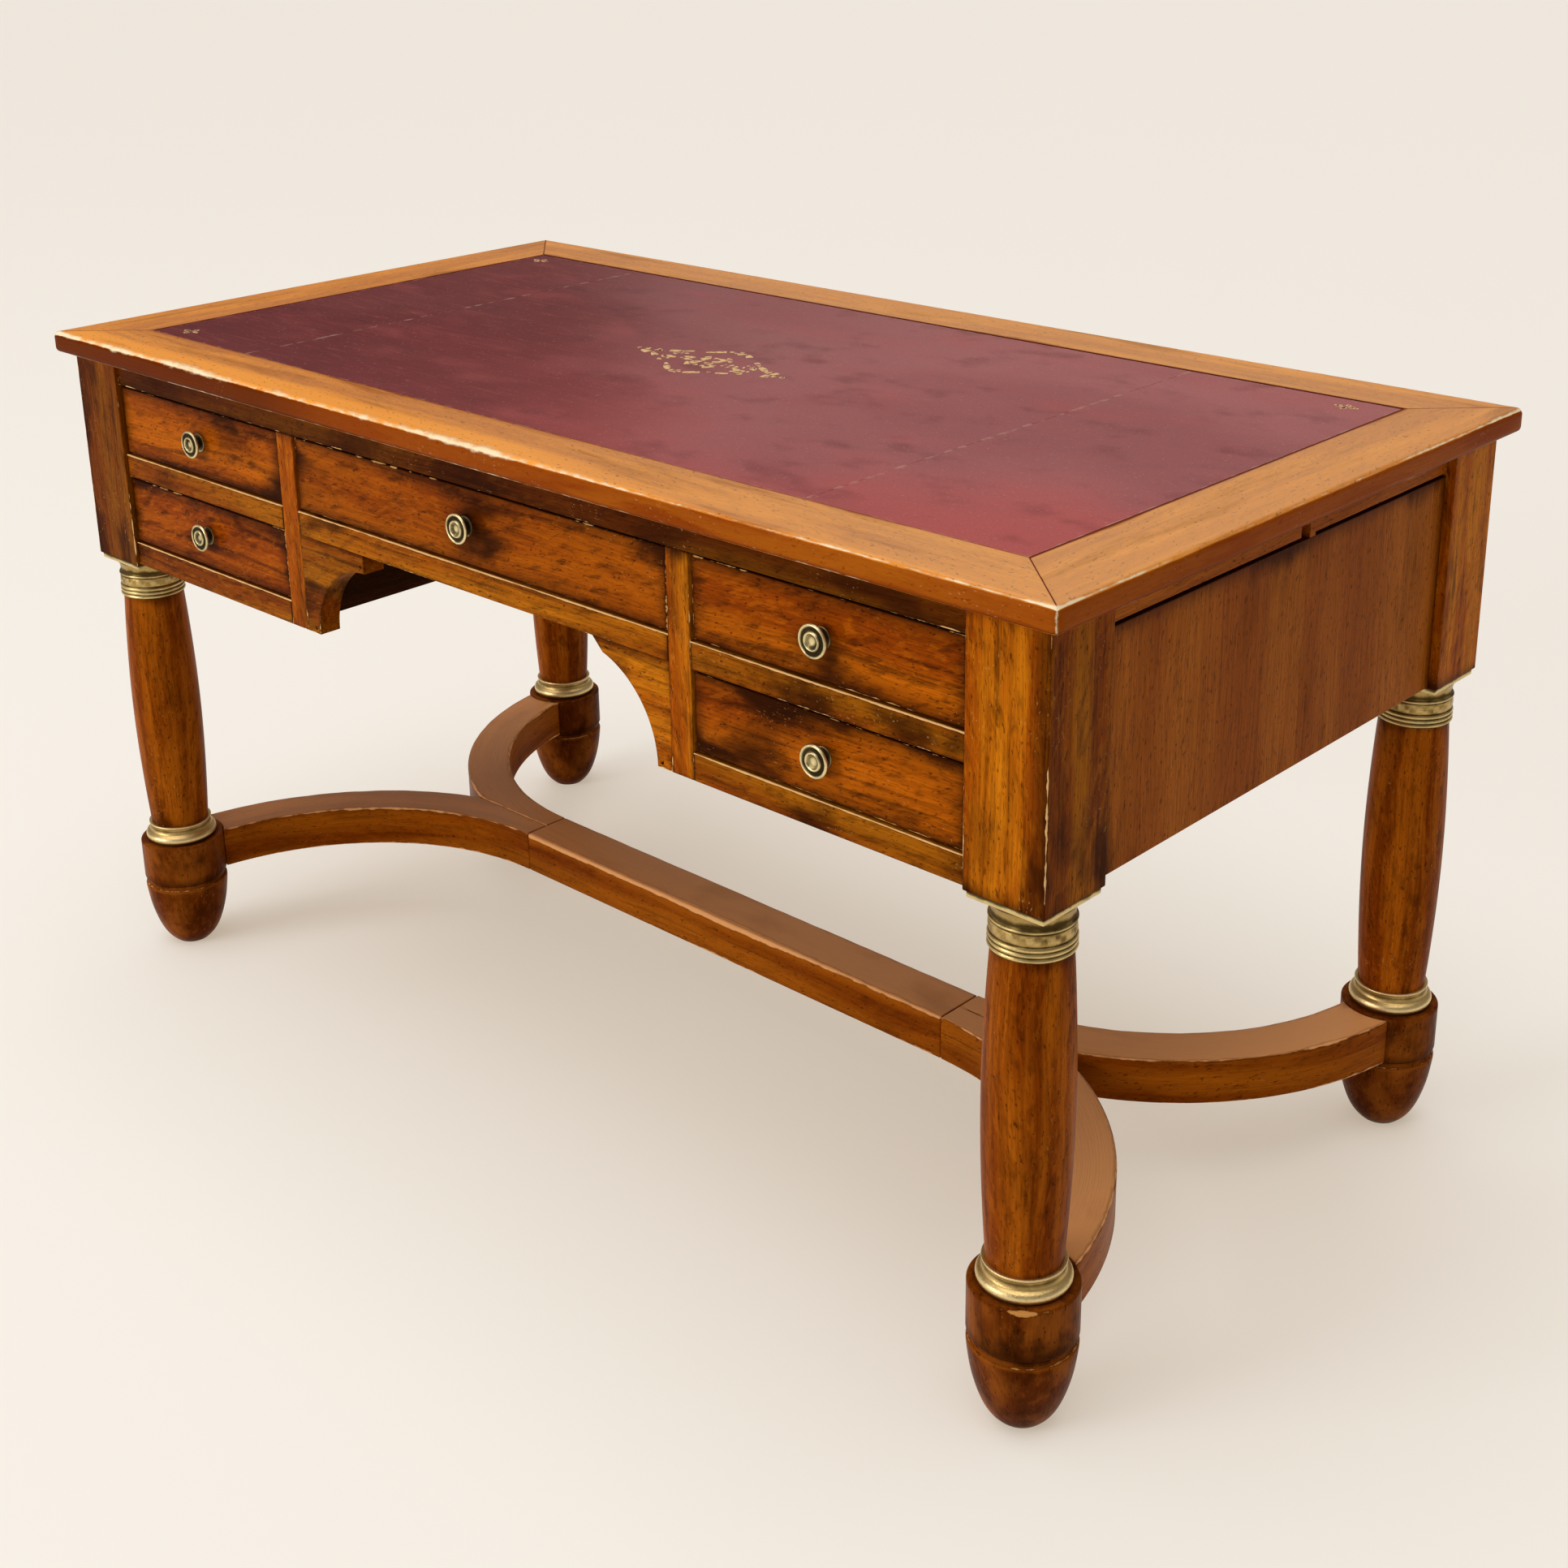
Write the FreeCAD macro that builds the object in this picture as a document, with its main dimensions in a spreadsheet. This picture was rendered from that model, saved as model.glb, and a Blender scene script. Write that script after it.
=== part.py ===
import FreeCAD, Part
import Sketcher
import math
import operator
import os

# A pedestal writing desk on four turned legs with a curved stretcher, in millimetres.
# X runs left to right, the front looks along -Y, Z is up and the floor is at zero.

doc = FreeCAD.newDocument("writing_desk")


class Size:
    """A length held as a number and as the sheet formula that gives it."""

    def __init__(self, number, formula):
        self.number = number
        self.formula = formula

    def joined(self, sign, other, work):
        if isinstance(other, Size):
            return Size(work(self.number, other.number), f"({self.formula} {sign} {other.formula})")
        return Size(work(self.number, other), f"({self.formula} {sign} {other})")

    def __add__(self, other):
        return self.joined("+", other, operator.add)

    def __sub__(self, other):
        return self.joined("-", other, operator.sub)

    def __mul__(self, other):
        return self.joined("*", other, operator.mul)

    def __truediv__(self, other):
        return self.joined("/", other, operator.truediv)

    def __neg__(self):
        return self * -1

    def root(self):
        return Size(math.sqrt(self.number), f"sqrt({self.formula})")


NOTHING = Size(0.0, "0")

# Driving dimensions: name, value and what it measures.
DRIVING = [
    ("desk_length", 1428, "top, left to right"),
    ("desk_depth", 748, "top, front to back"),
    ("desk_height", 780, "floor to the top of the border"),
    ("top_thickness", 24, "edge of the top"),
    ("top_overhang", 17, "top past the posts on all sides"),
    ("top_corner_radius", 5, "plan rounding of the top's corners"),
    ("top_arris", 3, "bevel of the top's upper edge"),
    ("top_under_arris", 2, "bevel of the top's lower edge"),
    ("border_end_width", 86, "veneered border at the two ends"),
    ("border_front_width", 79, "veneered border at the front and the back"),
    ("core_recess", 2, "core board below the border"),
    ("leather_thickness", 1.6, "skin on the core board"),
    ("leather_gap", 0.5, "open line round the leather"),
    ("leather_seam", 0.4, "open line between two skins"),
    ("leather_centre_half", 417, "middle skin's middle to a seam"),
    ("leather_shift", 27, "middle skin's middle left of the desk's middle"),
    ("post_width", 82, "square corner post"),
    ("post_arris", 1, "bevel of a post's long edges"),
    ("post_drop", 2, "post below the lower rails"),
    ("frame_setback", 3.5, "front frame behind the posts' faces"),
    ("frame_thickness", 25, "rails, dividers and brackets, front to back"),
    ("frame_arris", 0.6, "bevel of the front frame's edges"),
    ("top_rail_height", 27, "rail under the top"),
    ("upper_opening", 82, "height of the upper drawers' openings"),
    ("mid_rail_height", 26, "rail under the upper drawers"),
    ("lower_opening", 80, "height of the lower drawers' openings"),
    ("low_rail_height", 27, "rail under the lower drawers"),
    ("divider_width", 28, "upright between the middle and a pedestal"),
    ("kneehole_width", 558, "clear width between the dividers"),
    ("bracket_foot_left", 22, "left bracket's width at its lower end"),
    ("bracket_arc_left", 87, "left bracket's curve, radius"),
    ("bracket_foot_right", 19, "right bracket's width at its lower end"),
    ("bracket_arc_right", 98, "right bracket's curve, radius"),
    ("bracket_top_right", 101, "right bracket along the rail"),
    ("bracket_tip_loss", 13, "right bracket's worn tip, along the rail"),
    ("panel_reveal", 9, "side and back panels behind the posts' faces"),
    ("side_panel_thickness", 16, "side panel"),
    ("side_rail_height", 24, "side rail under the top"),
    ("side_rail_thickness", 25, "side rail, left to right"),
    ("shadow_gap", 3.5, "open line between a side rail and its panel"),
    ("notch_place", 13, "mid-side to the near end of the side rail's notch"),
    ("notch_width", 24, "notch along the side rail"),
    ("notch_depth", 8, "notch into the side rail"),
    ("key_width", 9, "block in the notch, along the rail"),
    ("wall_thickness", 18, "kneehole wall"),
    ("wall_lift", 10, "kneehole wall above the lower rails' undersides"),
    ("back_rail_thickness", 25, "rail under the top at the back"),
    ("back_panel_thickness", 12, "back panels"),
    ("front_thickness", 20, "drawer front"),
    ("front_recess", 2, "drawer front behind the frame's face"),
    ("front_gap", 1.2, "open line round a drawer front"),
    ("front_arris", 1.2, "bevel of a drawer front's edges"),
    ("drawer_side_gap", 1.5, "drawer box to its opening, each side"),
    ("drawer_top_gap", 3, "drawer box below its opening's upper edge"),
    ("drawer_lift", 0.3, "drawer box above its runners"),
    ("drawer_back_room", 127.5, "drawer's back end to the back panels"),
    ("drawer_wall", 10, "drawer sides and back"),
    ("bottom_thickness", 6, "drawer bottom"),
    ("bottom_lift", 9, "drawer bottom above the sides' lower edges"),
    ("bottom_groove", 5, "groove in a drawer side"),
    ("groove_clearance", 0.2, "drawer bottom in its grooves"),
    ("runner_thickness", 20, "drawer runner"),
    ("runner_ledge", 20, "runner under a drawer side"),
    ("guide_height", 12, "guide strip above a runner"),
    ("guide_width", 16, "outer guide strip"),
    ("kicker_width", 30, "strip above a drawer side"),
    ("stop_length", 18, "stop block along a runner"),
    ("stop_height", 8, "stop block above a runner"),
    ("stop_clearance", 0.3, "shut drawer to its stop blocks"),
    ("knob_radius", 15.5, "knob head"),
    ("knob_projection", 14, "knob's front from the drawer front"),
    ("knob_rim", 4.4, "knob head, front to back"),
    ("knob_neck_radius", 4.6, "knob neck"),
    ("knob_shank_width", 6, "knob's square shank in the drawer front"),
    ("knob_shank_length", 14, "knob's square shank in the drawer front"),
    ("capital_height", 49, "brass capital"),
    ("plate_inset", 2.5, "capital's square plate within the post"),
    ("plate_thickness", 6, "capital's square plate"),
    ("hollow_top_radius", 38.2, "capital's hollow under the plate"),
    ("hollow_radius", 34.9, "capital's hollow at its narrowest"),
    ("hollow_height", 14, "capital's hollow"),
    ("hollow_foot", 3.5, "slope from the hollow out to the band"),
    ("frieze_radius", 36.8, "capital's chased and ringed band"),
    ("column_top_radius", 34.3, "column under the capital"),
    ("column_belly_radius", 39.8, "column at its fullest"),
    ("column_foot_radius", 33.8, "column at the base"),
    ("tenon_width", 40, "square tenon at both ends of a column"),
    ("tenon_length", 36, "tenon in the post and in the foot"),
    ("socket_clearance", 0.3, "tenons, spigots and rings round what they fit"),
    ("base_height", 23.5, "brass base ring"),
    ("roll_foot_radius", 39.5, "base ring where it stands on the block"),
    ("roll_radius", 42.2, "base ring at its widest"),
    ("roll_height", 14.5, "base ring's roll"),
    ("roll_top_radius", 38.4, "base ring's roll, upper end"),
    ("collar_radius", 34.9, "base ring's hollow"),
    ("rim_radius", 35.8, "base ring's upper rim"),
    ("rim_height", 4.5, "flare up to the base ring's rim"),
    ("block_radius", 49.5, "round block between column and foot"),
    ("block_height", 50, "round block, and the stretcher"),
    ("foot_height", 91.5, "floor to the block"),
    ("foot_belly_radius", 49.8, "foot at its fullest"),
    ("foot_belly_height", 84, "floor to the fullest part"),
    ("foot_top_radius", 45.5, "foot under the block"),
    ("sole_radius", 25.5, "flat sole"),
    ("bar_width", 62, "stretcher bar, front to back"),
    ("joint_place", 330, "middle of the desk to a stretcher joint"),
    ("arm_width", 55, "curved stretcher arm"),
    ("arm_clearance", 0.3, "arm to the round block"),
]

sizes = doc.addObject("Spreadsheet::Sheet", "Sizes")
places = doc.addObject("Spreadsheet::Sheet", "Places")


def fill_sizes():
    """Write the driving dimensions and return them as named sizes."""
    named = {}
    for row, (name, value, note) in enumerate(DRIVING, start=1):
        sizes.set(f"A{row}", note)
        sizes.set(f"B{row}", str(value))
        sizes.setAlias(f"B{row}", name)
        named[name] = Size(float(value), f"Sizes.{name}")
    return named


class Table:
    """Named sizes read as attributes."""

    def __init__(self, named):
        self.__dict__.update(named)


S = Table(fill_sizes())
place_rows = []


def place(name, size):
    """Keep a worked-out size under a name of its own in the second sheet."""
    row = len(place_rows) + 1
    place_rows.append(name)
    places.set(f"A{row}", name)
    places.set(f"B{row}", f"={size.formula}")
    places.setAlias(f"B{row}", name)
    return Size(size.number, f"Places.{name}")


# Places across the desk, from the middle outwards.
half_length = place("half_length", S.desk_length / 2)
half_depth = place("half_depth", S.desk_depth / 2)
post_out_x = place("post_out_x", half_length - S.top_overhang)
post_in_x = place("post_in_x", post_out_x - S.post_width)
post_out_y = place("post_out_y", half_depth - S.top_overhang)
post_in_y = place("post_in_y", post_out_y - S.post_width)
leg_x = place("leg_x", post_out_x - S.post_width / 2)
leg_y = place("leg_y", post_out_y - S.post_width / 2)
knee_x = place("knee_x", S.kneehole_width / 2)
divider_out_x = place("divider_out_x", knee_x + S.divider_width)
wall_out_x = place("wall_out_x", knee_x + S.wall_thickness)
panel_out_x = place("panel_out_x", post_out_x - S.panel_reveal)
panel_in_x = place("panel_in_x", panel_out_x - S.side_panel_thickness)
frame_front_y = place("frame_front_y", S.frame_setback - post_out_y)
frame_back_y = place("frame_back_y", frame_front_y + S.frame_thickness)
panel_back_y = place("panel_back_y", post_out_y - S.panel_reveal)
panel_front_y = place("panel_front_y", panel_back_y - S.back_panel_thickness)
back_rail_front_y = place("back_rail_front_y", panel_back_y - S.back_rail_thickness)

# Heights, from the top down to the lower rails, and from the floor up to the column.
top_under = place("top_under", S.desk_height - S.top_thickness)
core_top = place("core_top", S.desk_height - S.core_recess)
upper_top = place("upper_top", top_under - S.top_rail_height)
upper_floor = place("upper_floor", upper_top - S.upper_opening)
lower_top = place("lower_top", upper_floor - S.mid_rail_height)
lower_floor = place("lower_floor", lower_top - S.lower_opening)
case_under = place("case_under", lower_floor - S.low_rail_height)
post_under = place("post_under", case_under - S.post_drop)
capital_under = place("capital_under", post_under - S.capital_height)
block_top = place("block_top", S.foot_height + S.block_height)
base_top = place("base_top", block_top + S.base_height)
side_panel_top = place("side_panel_top", top_under - S.side_rail_height - S.shadow_gap)

CORNERS = [("front_left", -1, -1), ("front_right", 1, -1), ("rear_left", -1, 1), ("rear_right", 1, 1)]
SIDES = [("left", -1), ("right", 1)]
FULL_TURN = 360


def new_body(label):
    made = doc.addObject("PartDesign::Body", label)
    made.Label = label
    return made


def move_to(thing, x=NOTHING, y=NOTHING, z=NOTHING):
    """Bind an object's place to the sheets."""
    thing.Placement = FreeCAD.Placement(FreeCAD.Vector(x.number, y.number, z.number), FreeCAD.Rotation())
    for axis, size in (("x", x), ("y", y), ("z", z)):
        if size is not NOTHING:
            thing.setExpression(f"Placement.Base.{axis}", size.formula)


def origin_plane(body, role):
    return next(part for part in body.Origin.OriginFeatures if part.Role == role)


def arc_between(start, end, bend):
    """Arc from start to end; a positive bend turns left, and its size is the radius."""
    radius = abs(bend)
    chord = end - start
    half = chord.Length / 2
    rise = math.sqrt(max(radius * radius - half * half, 0.0))
    left = FreeCAD.Vector(-chord.y, chord.x, 0).normalize()
    centre = (start + end) / 2 + left * (rise if bend > 0 else -rise)
    first = math.atan2(start.y - centre.y, start.x - centre.x)
    last = math.atan2(end.y - centre.y, end.x - centre.x)
    if bend < 0:
        first, last = last, first
    circle = Part.Circle(centre, FreeCAD.Vector(0, 0, 1), radius)
    return Part.ArcOfCircle(circle, first, last)


def outline(body, name, role, corners):
    """Closed outline on an origin plane of the body.

    Each corner is (across, up) or (across, up, radius, turn): the last two make the run that
    ends there an arc, which turns left when turn is 1 and right when it is -1.
    """
    sketch = body.newObject("Sketcher::SketchObject", name)
    sketch.AttachmentSupport = [(origin_plane(body, role), "")]
    sketch.MapMode = "FlatFace"
    points = [FreeCAD.Vector(corner[0].number, corner[1].number, 0) for corner in corners]
    ends = []
    for index, corner in enumerate(corners):
        start, end = points[index - 1], points[index]
        if len(corner) == 2:
            sketch.addGeometry(Part.LineSegment(start, end), False)
            ends.append((1, 2))
        else:
            radius, turn = corner[2], corner[3]
            sketch.addGeometry(arc_between(start, end, radius.number * turn), False)
            ends.append((1, 2) if turn > 0 else (2, 1))
    for index in range(len(corners)):
        before = index - 1 if index else len(corners) - 1
        joint = Sketcher.Constraint("Coincident", before, ends[before][1], index, ends[index][0])
        sketch.addConstraint(joint)
    for index, corner in enumerate(corners):
        for kind, size in (("DistanceX", corner[0]), ("DistanceY", corner[1])):
            held = Sketcher.Constraint(kind, -1, 1, index, ends[index][1], size.number)
            row = sketch.addConstraint(held)
            sketch.setExpression(f"Constraints[{row}]", size.formula)
        if len(corner) > 2:
            row = sketch.addConstraint(Sketcher.Constraint("Radius", index, corner[2].number))
            sketch.setExpression(f"Constraints[{row}]", corner[2].formula)
    return sketch


def box_corners(left, right, low, high):
    return [(left, low), (right, low), (right, high), (left, high)]


def circle_outline(body, name, role, across, up, radius):
    """Circle on an origin plane of the body."""
    sketch = body.newObject("Sketcher::SketchObject", name)
    sketch.AttachmentSupport = [(origin_plane(body, role), "")]
    sketch.MapMode = "FlatFace"
    centre = FreeCAD.Vector(across.number, up.number, 0)
    sketch.addGeometry(Part.Circle(centre, FreeCAD.Vector(0, 0, 1), radius.number), False)
    for kind, size in (("DistanceX", across), ("DistanceY", up)):
        row = sketch.addConstraint(Sketcher.Constraint(kind, -1, 1, 0, 3, size.number))
        sketch.setExpression(f"Constraints[{row}]", size.formula)
    row = sketch.addConstraint(Sketcher.Constraint("Radius", 0, radius.number))
    sketch.setExpression(f"Constraints[{row}]", radius.formula)
    return sketch


def pad(body, sketch, length, backwards=False):
    made = body.newObject("PartDesign::Pad", f"{sketch.Name}_pad")
    made.Profile = sketch
    made.Length = length.number
    made.setExpression("Length", length.formula)
    made.Reversed = backwards
    return made


def pocket_through(body, sketch):
    """Cut the sketch right through, both ways."""
    made = body.newObject("PartDesign::Pocket", f"{sketch.Name}_cut")
    made.Profile = sketch
    made.Type = "ThroughAll"
    made.Midplane = True
    return made


def pocket(body, sketch, depth, backwards=False):
    """Cut the sketch to a depth from its plane."""
    made = body.newObject("PartDesign::Pocket", f"{sketch.Name}_cut")
    made.Profile = sketch
    made.Length = depth.number
    made.setExpression("Length", depth.formula)
    made.Reversed = backwards
    return made


def revolve(body, sketch):
    made = body.newObject("PartDesign::Revolution", f"{sketch.Name}_turned")
    made.Profile = sketch
    made.ReferenceAxis = (sketch, ["V_Axis"])
    made.Angle = FULL_TURN
    return made


def rounded(body, feature, keep, radius):
    """Round the edges of a feature that the test keep lets through."""
    doc.recompute()
    names = [f"Edge{number}" for number, edge in enumerate(feature.Shape.Edges, start=1) if keep(edge)]
    made = body.newObject("PartDesign::Fillet", f"{feature.Name}_round")
    made.Base = (feature, names)
    made.Radius = radius.number
    made.setExpression("Radius", radius.formula)
    return made


def bevelled(body, feature, keep, width):
    """Bevel the edges of a feature that the test keep lets through."""
    doc.recompute()
    names = [f"Edge{number}" for number, edge in enumerate(feature.Shape.Edges, start=1) if keep(edge)]
    made = body.newObject("PartDesign::Chamfer", f"{feature.Name}_bevel")
    made.Base = (feature, names)
    made.Size = width.number
    made.setExpression("Size", width.formula)
    return made


def along(axis):
    """Test for straight edges that run along an axis."""
    def test(edge):
        return isinstance(edge.Curve, Part.Line) and abs(abs(edge.Curve.Direction.dot(axis)) - 1) < NEARLY
    return test


def on_level(axis, level):
    """Test for edges that lie wholly at one level along an axis."""
    def test(edge):
        return all(abs(vertex.Point.dot(axis) - level) < NEARLY for vertex in edge.Vertexes)
    return test


NEARLY = 1e-4
X_AXIS = FreeCAD.Vector(1, 0, 0)
Y_AXIS = FreeCAD.Vector(0, 1, 0)
Z_AXIS = FreeCAD.Vector(0, 0, 1)


def plain_board(label, left, right, front, back, low, high):
    """A plain squared board between six places."""
    made = doc.addObject("Part::Box", label)
    made.Label = label
    for name, size in (("Length", right - left), ("Width", back - front), ("Height", high - low)):
        setattr(made, name, size.number)
        made.setExpression(name, size.formula)
    move_to(made, left, front, low)
    return made


def faced_board(label, left, right, front, back, low, high, arris):
    """A board whose front face has bevelled edges."""
    body = new_body(label)
    face = outline(body, f"{label}_face", "XZ_Plane", box_corners(NOTHING, right - left, NOTHING, high - low))
    blank = pad(body, face, back - front, backwards=True)
    bevelled(body, blank, on_level(Y_AXIS, 0.0), arris)
    move_to(body, left, front, low)
    return body


def mirrored_pair(side, near, far):
    """The two places of a piece on one side, in rising order."""
    return (near, far) if side > 0 else (-far, -near)


def group(label, pieces):
    """Equal pieces under one name, each still a solid of its own."""
    made = doc.addObject("Part::Compound", label)
    made.Label = label
    made.Links = pieces
    return made


def build_top():
    """Four mitred border boards, the core board and three leather skins."""
    blank = new_body("top_blank")
    plan = outline(blank, "top_plan", "XY_Plane", box_corners(-half_length, half_length, -half_depth, half_depth))
    slab = pad(blank, plan, S.top_thickness)
    corners = rounded(blank, slab, along(Z_AXIS), S.top_corner_radius)
    upper = bevelled(blank, corners, on_level(Z_AXIS, S.top_thickness.number), S.top_arris)
    bevelled(blank, upper, on_level(Z_AXIS, 0.0), S.top_under_arris)
    well_x = place("well_x", half_length - S.border_end_width)
    well_y = place("well_y", half_depth - S.border_front_width)
    well = outline(blank, "top_well", "XY_Plane", box_corners(-well_x, well_x, -well_y, well_y))
    pocket_through(blank, well)
    move_to(blank, z=top_under)

    nodes = []
    for name, turn in (("front", -1), ("rear", 1)):
        plan = [(-half_length, half_depth * turn), (half_length, half_depth * turn),
                (well_x, well_y * turn), (-well_x, well_y * turn)]
        nodes.append(border_board(f"top_border_{name}", blank, plan))
    for name, turn in SIDES:
        plan = [(half_length * turn, -half_depth), (half_length * turn, half_depth),
                (well_x * turn, well_y), (well_x * turn, -well_y)]
        nodes.append(border_board(f"top_border_{name}", blank, plan))

    nodes.append(plain_board("top_core", -well_x, well_x, -well_y, well_y, top_under, core_top))
    edge_x, edge_y = well_x - S.leather_gap, well_y - S.leather_gap
    seam = S.leather_seam / 2
    seam_left = place("seam_left", -S.leather_centre_half - S.leather_shift)
    seam_right = place("seam_right", S.leather_centre_half - S.leather_shift)
    spans = [(-edge_x, seam_left - seam), (seam_left + seam, seam_right - seam), (seam_right + seam, edge_x)]
    skins = [plain_board(f"leather_skin_{number}", left, right, -edge_y, edge_y,
                         core_top, core_top + S.leather_thickness)
             for number, (left, right) in enumerate(spans, start=1)]
    nodes.append(group("leather_panels", skins))
    return nodes


def border_board(label, blank, plan):
    """One mitred side of the border: the part of the rounded slab over its plan."""
    wedge = new_body(f"{label}_wedge")
    pad(wedge, outline(wedge, f"{label}_plan", "XY_Plane", plan), S.top_thickness)
    move_to(wedge, z=top_under)
    board = doc.addObject("Part::Common", label)
    board.Label = label
    board.Base = blank
    board.Tool = wedge
    return board


def square_outline(body, name, half, height=NOTHING):
    """Square about the body's upright axis, at a height."""
    sketch = outline(body, name, "XY_Plane", box_corners(-half, half, -half, half))
    if height is not NOTHING:
        sketch.AttachmentOffset = FreeCAD.Placement(FreeCAD.Vector(0, 0, height.number), FreeCAD.Rotation())
        sketch.setExpression("AttachmentOffset.Base.z", height.formula)
    return sketch


def build_posts():
    """Square corner posts, each with a socket for its column's tenon."""
    nodes = []
    for name, side, end in CORNERS:
        body = new_body(f"post_{name}")
        blank = pad(body, square_outline(body, f"post_{name}_plan", S.post_width / 2), top_under - post_under)
        bevelled(body, blank, along(Z_AXIS), S.post_arris)
        socket = square_outline(body, f"post_{name}_socket", S.tenon_width / 2 + S.socket_clearance)
        pocket(body, socket, S.tenon_length + S.socket_clearance, backwards=True)
        move_to(body, leg_x * side, leg_y * end, post_under)
        nodes.append(body)
    return nodes


def build_front_frame():
    """Rails, dividers and the two shaped brackets round the drawer openings."""
    depth = (frame_front_y, frame_back_y)
    nodes = [
        faced_board("front_top_rail", -post_in_x, post_in_x, *depth, upper_top, top_under, S.frame_arris),
        faced_board("centre_rail", -knee_x, knee_x, *depth, lower_top, upper_floor, S.frame_arris),
    ]
    rails = []
    for name, side in SIDES:
        left, right = mirrored_pair(side, divider_out_x, post_in_x)
        rails.append(faced_board(f"mid_rail_{name}", left, right, *depth, lower_top, upper_floor, S.frame_arris))
        rails.append(faced_board(f"low_rail_{name}", left, right, *depth, case_under, lower_floor, S.frame_arris))
        left, right = mirrored_pair(side, knee_x, divider_out_x)
        nodes.append(faced_board(f"divider_{name}", left, right, *depth, case_under, upper_top, S.frame_arris))
    nodes.append(group("drawer_rails", rails))
    nodes.append(left_bracket())
    nodes.append(right_bracket())
    return nodes


def left_bracket():
    """Quarter-round bracket that ends square under the rail."""
    height = lower_top - case_under
    reach = S.bracket_foot_left + S.bracket_arc_left
    corners = [(NOTHING, NOTHING), (S.bracket_foot_left, NOTHING),
               (reach, S.bracket_arc_left, S.bracket_arc_left, -1), (reach, height), (NOTHING, height)]
    return bracket("bracket_left", corners, -knee_x)


def right_bracket():
    """Wider quarter-round bracket whose thin tip is worn to a slant."""
    height = lower_top - case_under
    tip = S.bracket_top_right - S.bracket_tip_loss
    across = S.bracket_foot_right + S.bracket_arc_right - tip
    tip_height = (S.bracket_arc_right * S.bracket_arc_right - across * across).root()
    corners = [(NOTHING, NOTHING), (NOTHING, height), (-S.bracket_top_right, height), (-tip, tip_height),
               (-S.bracket_foot_right, NOTHING, S.bracket_arc_right, -1)]
    return bracket("bracket_right", corners, knee_x)


def bracket(label, corners, x):
    body = new_body(label)
    blank = pad(body, outline(body, f"{label}_face", "XZ_Plane", corners), S.frame_thickness, backwards=True)
    bevelled(body, blank, on_level(Y_AXIS, 0.0), S.frame_arris)
    move_to(body, x, frame_front_y, case_under)
    return body


def build_sides():
    """Side panels and the rails above them, the right one with a notch and its small key."""
    nodes = []
    for name, side in SIDES:
        left, right = mirrored_pair(side, panel_in_x, panel_out_x)
        nodes.append(plain_board(f"side_panel_{name}", left, right, -post_in_y, post_in_y,
                                 case_under, side_panel_top))
    rail_in_x = panel_out_x - S.side_rail_thickness
    rail_under = side_panel_top + S.shadow_gap
    nodes.append(plain_board("side_rail_left", -panel_out_x, -rail_in_x, -post_in_y, post_in_y,
                             rail_under, top_under))
    notch_front = S.notch_place
    notch_back = notch_front + S.notch_width
    notch_x = panel_out_x - S.notch_depth
    rail = new_body("side_rail_right_bar")
    plan = [(rail_in_x, -post_in_y), (panel_out_x, -post_in_y), (panel_out_x, notch_front),
            (notch_x, notch_front), (notch_x, notch_back), (panel_out_x, notch_back),
            (panel_out_x, post_in_y), (rail_in_x, post_in_y)]
    pad(rail, outline(rail, "side_rail_plan", "XY_Plane", plan), top_under - rail_under)
    move_to(rail, z=rail_under)
    key = plain_board("side_rail_right_key", notch_x, panel_out_x, notch_back - S.key_width, notch_back,
                      side_panel_top, top_under)
    nodes.append(group("side_rail_right", [rail, key]))
    return nodes


def build_case():
    """Kneehole walls, the back rail and the three back panels."""
    walls = []
    for name, side in SIDES:
        left, right = mirrored_pair(side, knee_x, wall_out_x)
        walls.append(plain_board(f"kneehole_wall_{name}", left, right, frame_back_y, panel_front_y,
                                 case_under + S.wall_lift, upper_top))
    nodes = [group("kneehole_walls", walls)]
    nodes.append(plain_board("back_rail", -post_in_x, post_in_x, back_rail_front_y, panel_back_y,
                             upper_top, top_under))
    meeting = knee_x + S.wall_thickness / 2
    for name, side in SIDES:
        left, right = mirrored_pair(side, meeting, post_in_x)
        nodes.append(plain_board(f"back_panel_{name}", left, right, panel_front_y, panel_back_y,
                                 case_under, upper_top))
    nodes.append(plain_board("back_panel_centre", -meeting, meeting, panel_front_y, panel_back_y,
                             lower_top, upper_top))
    return nodes


def outer_runner(label, side, floor):
    """Runner between a side panel and a drawer, notched round both posts."""
    ledge_x = post_in_x - S.runner_ledge
    body = new_body(label)
    plan = [(ledge_x, frame_back_y), (post_in_x, frame_back_y), (post_in_x, -post_in_y),
            (panel_in_x, -post_in_y), (panel_in_x, post_in_y), (post_in_x, post_in_y),
            (post_in_x, panel_front_y), (ledge_x, panel_front_y)]
    plan = [(x * side, y) for x, y in plan]
    pad(body, outline(body, f"{label}_plan", "XY_Plane", plan), S.runner_thickness)
    move_to(body, z=floor - S.runner_thickness)
    return body


def drawer_back_y():
    return panel_front_y - S.drawer_back_room


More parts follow.
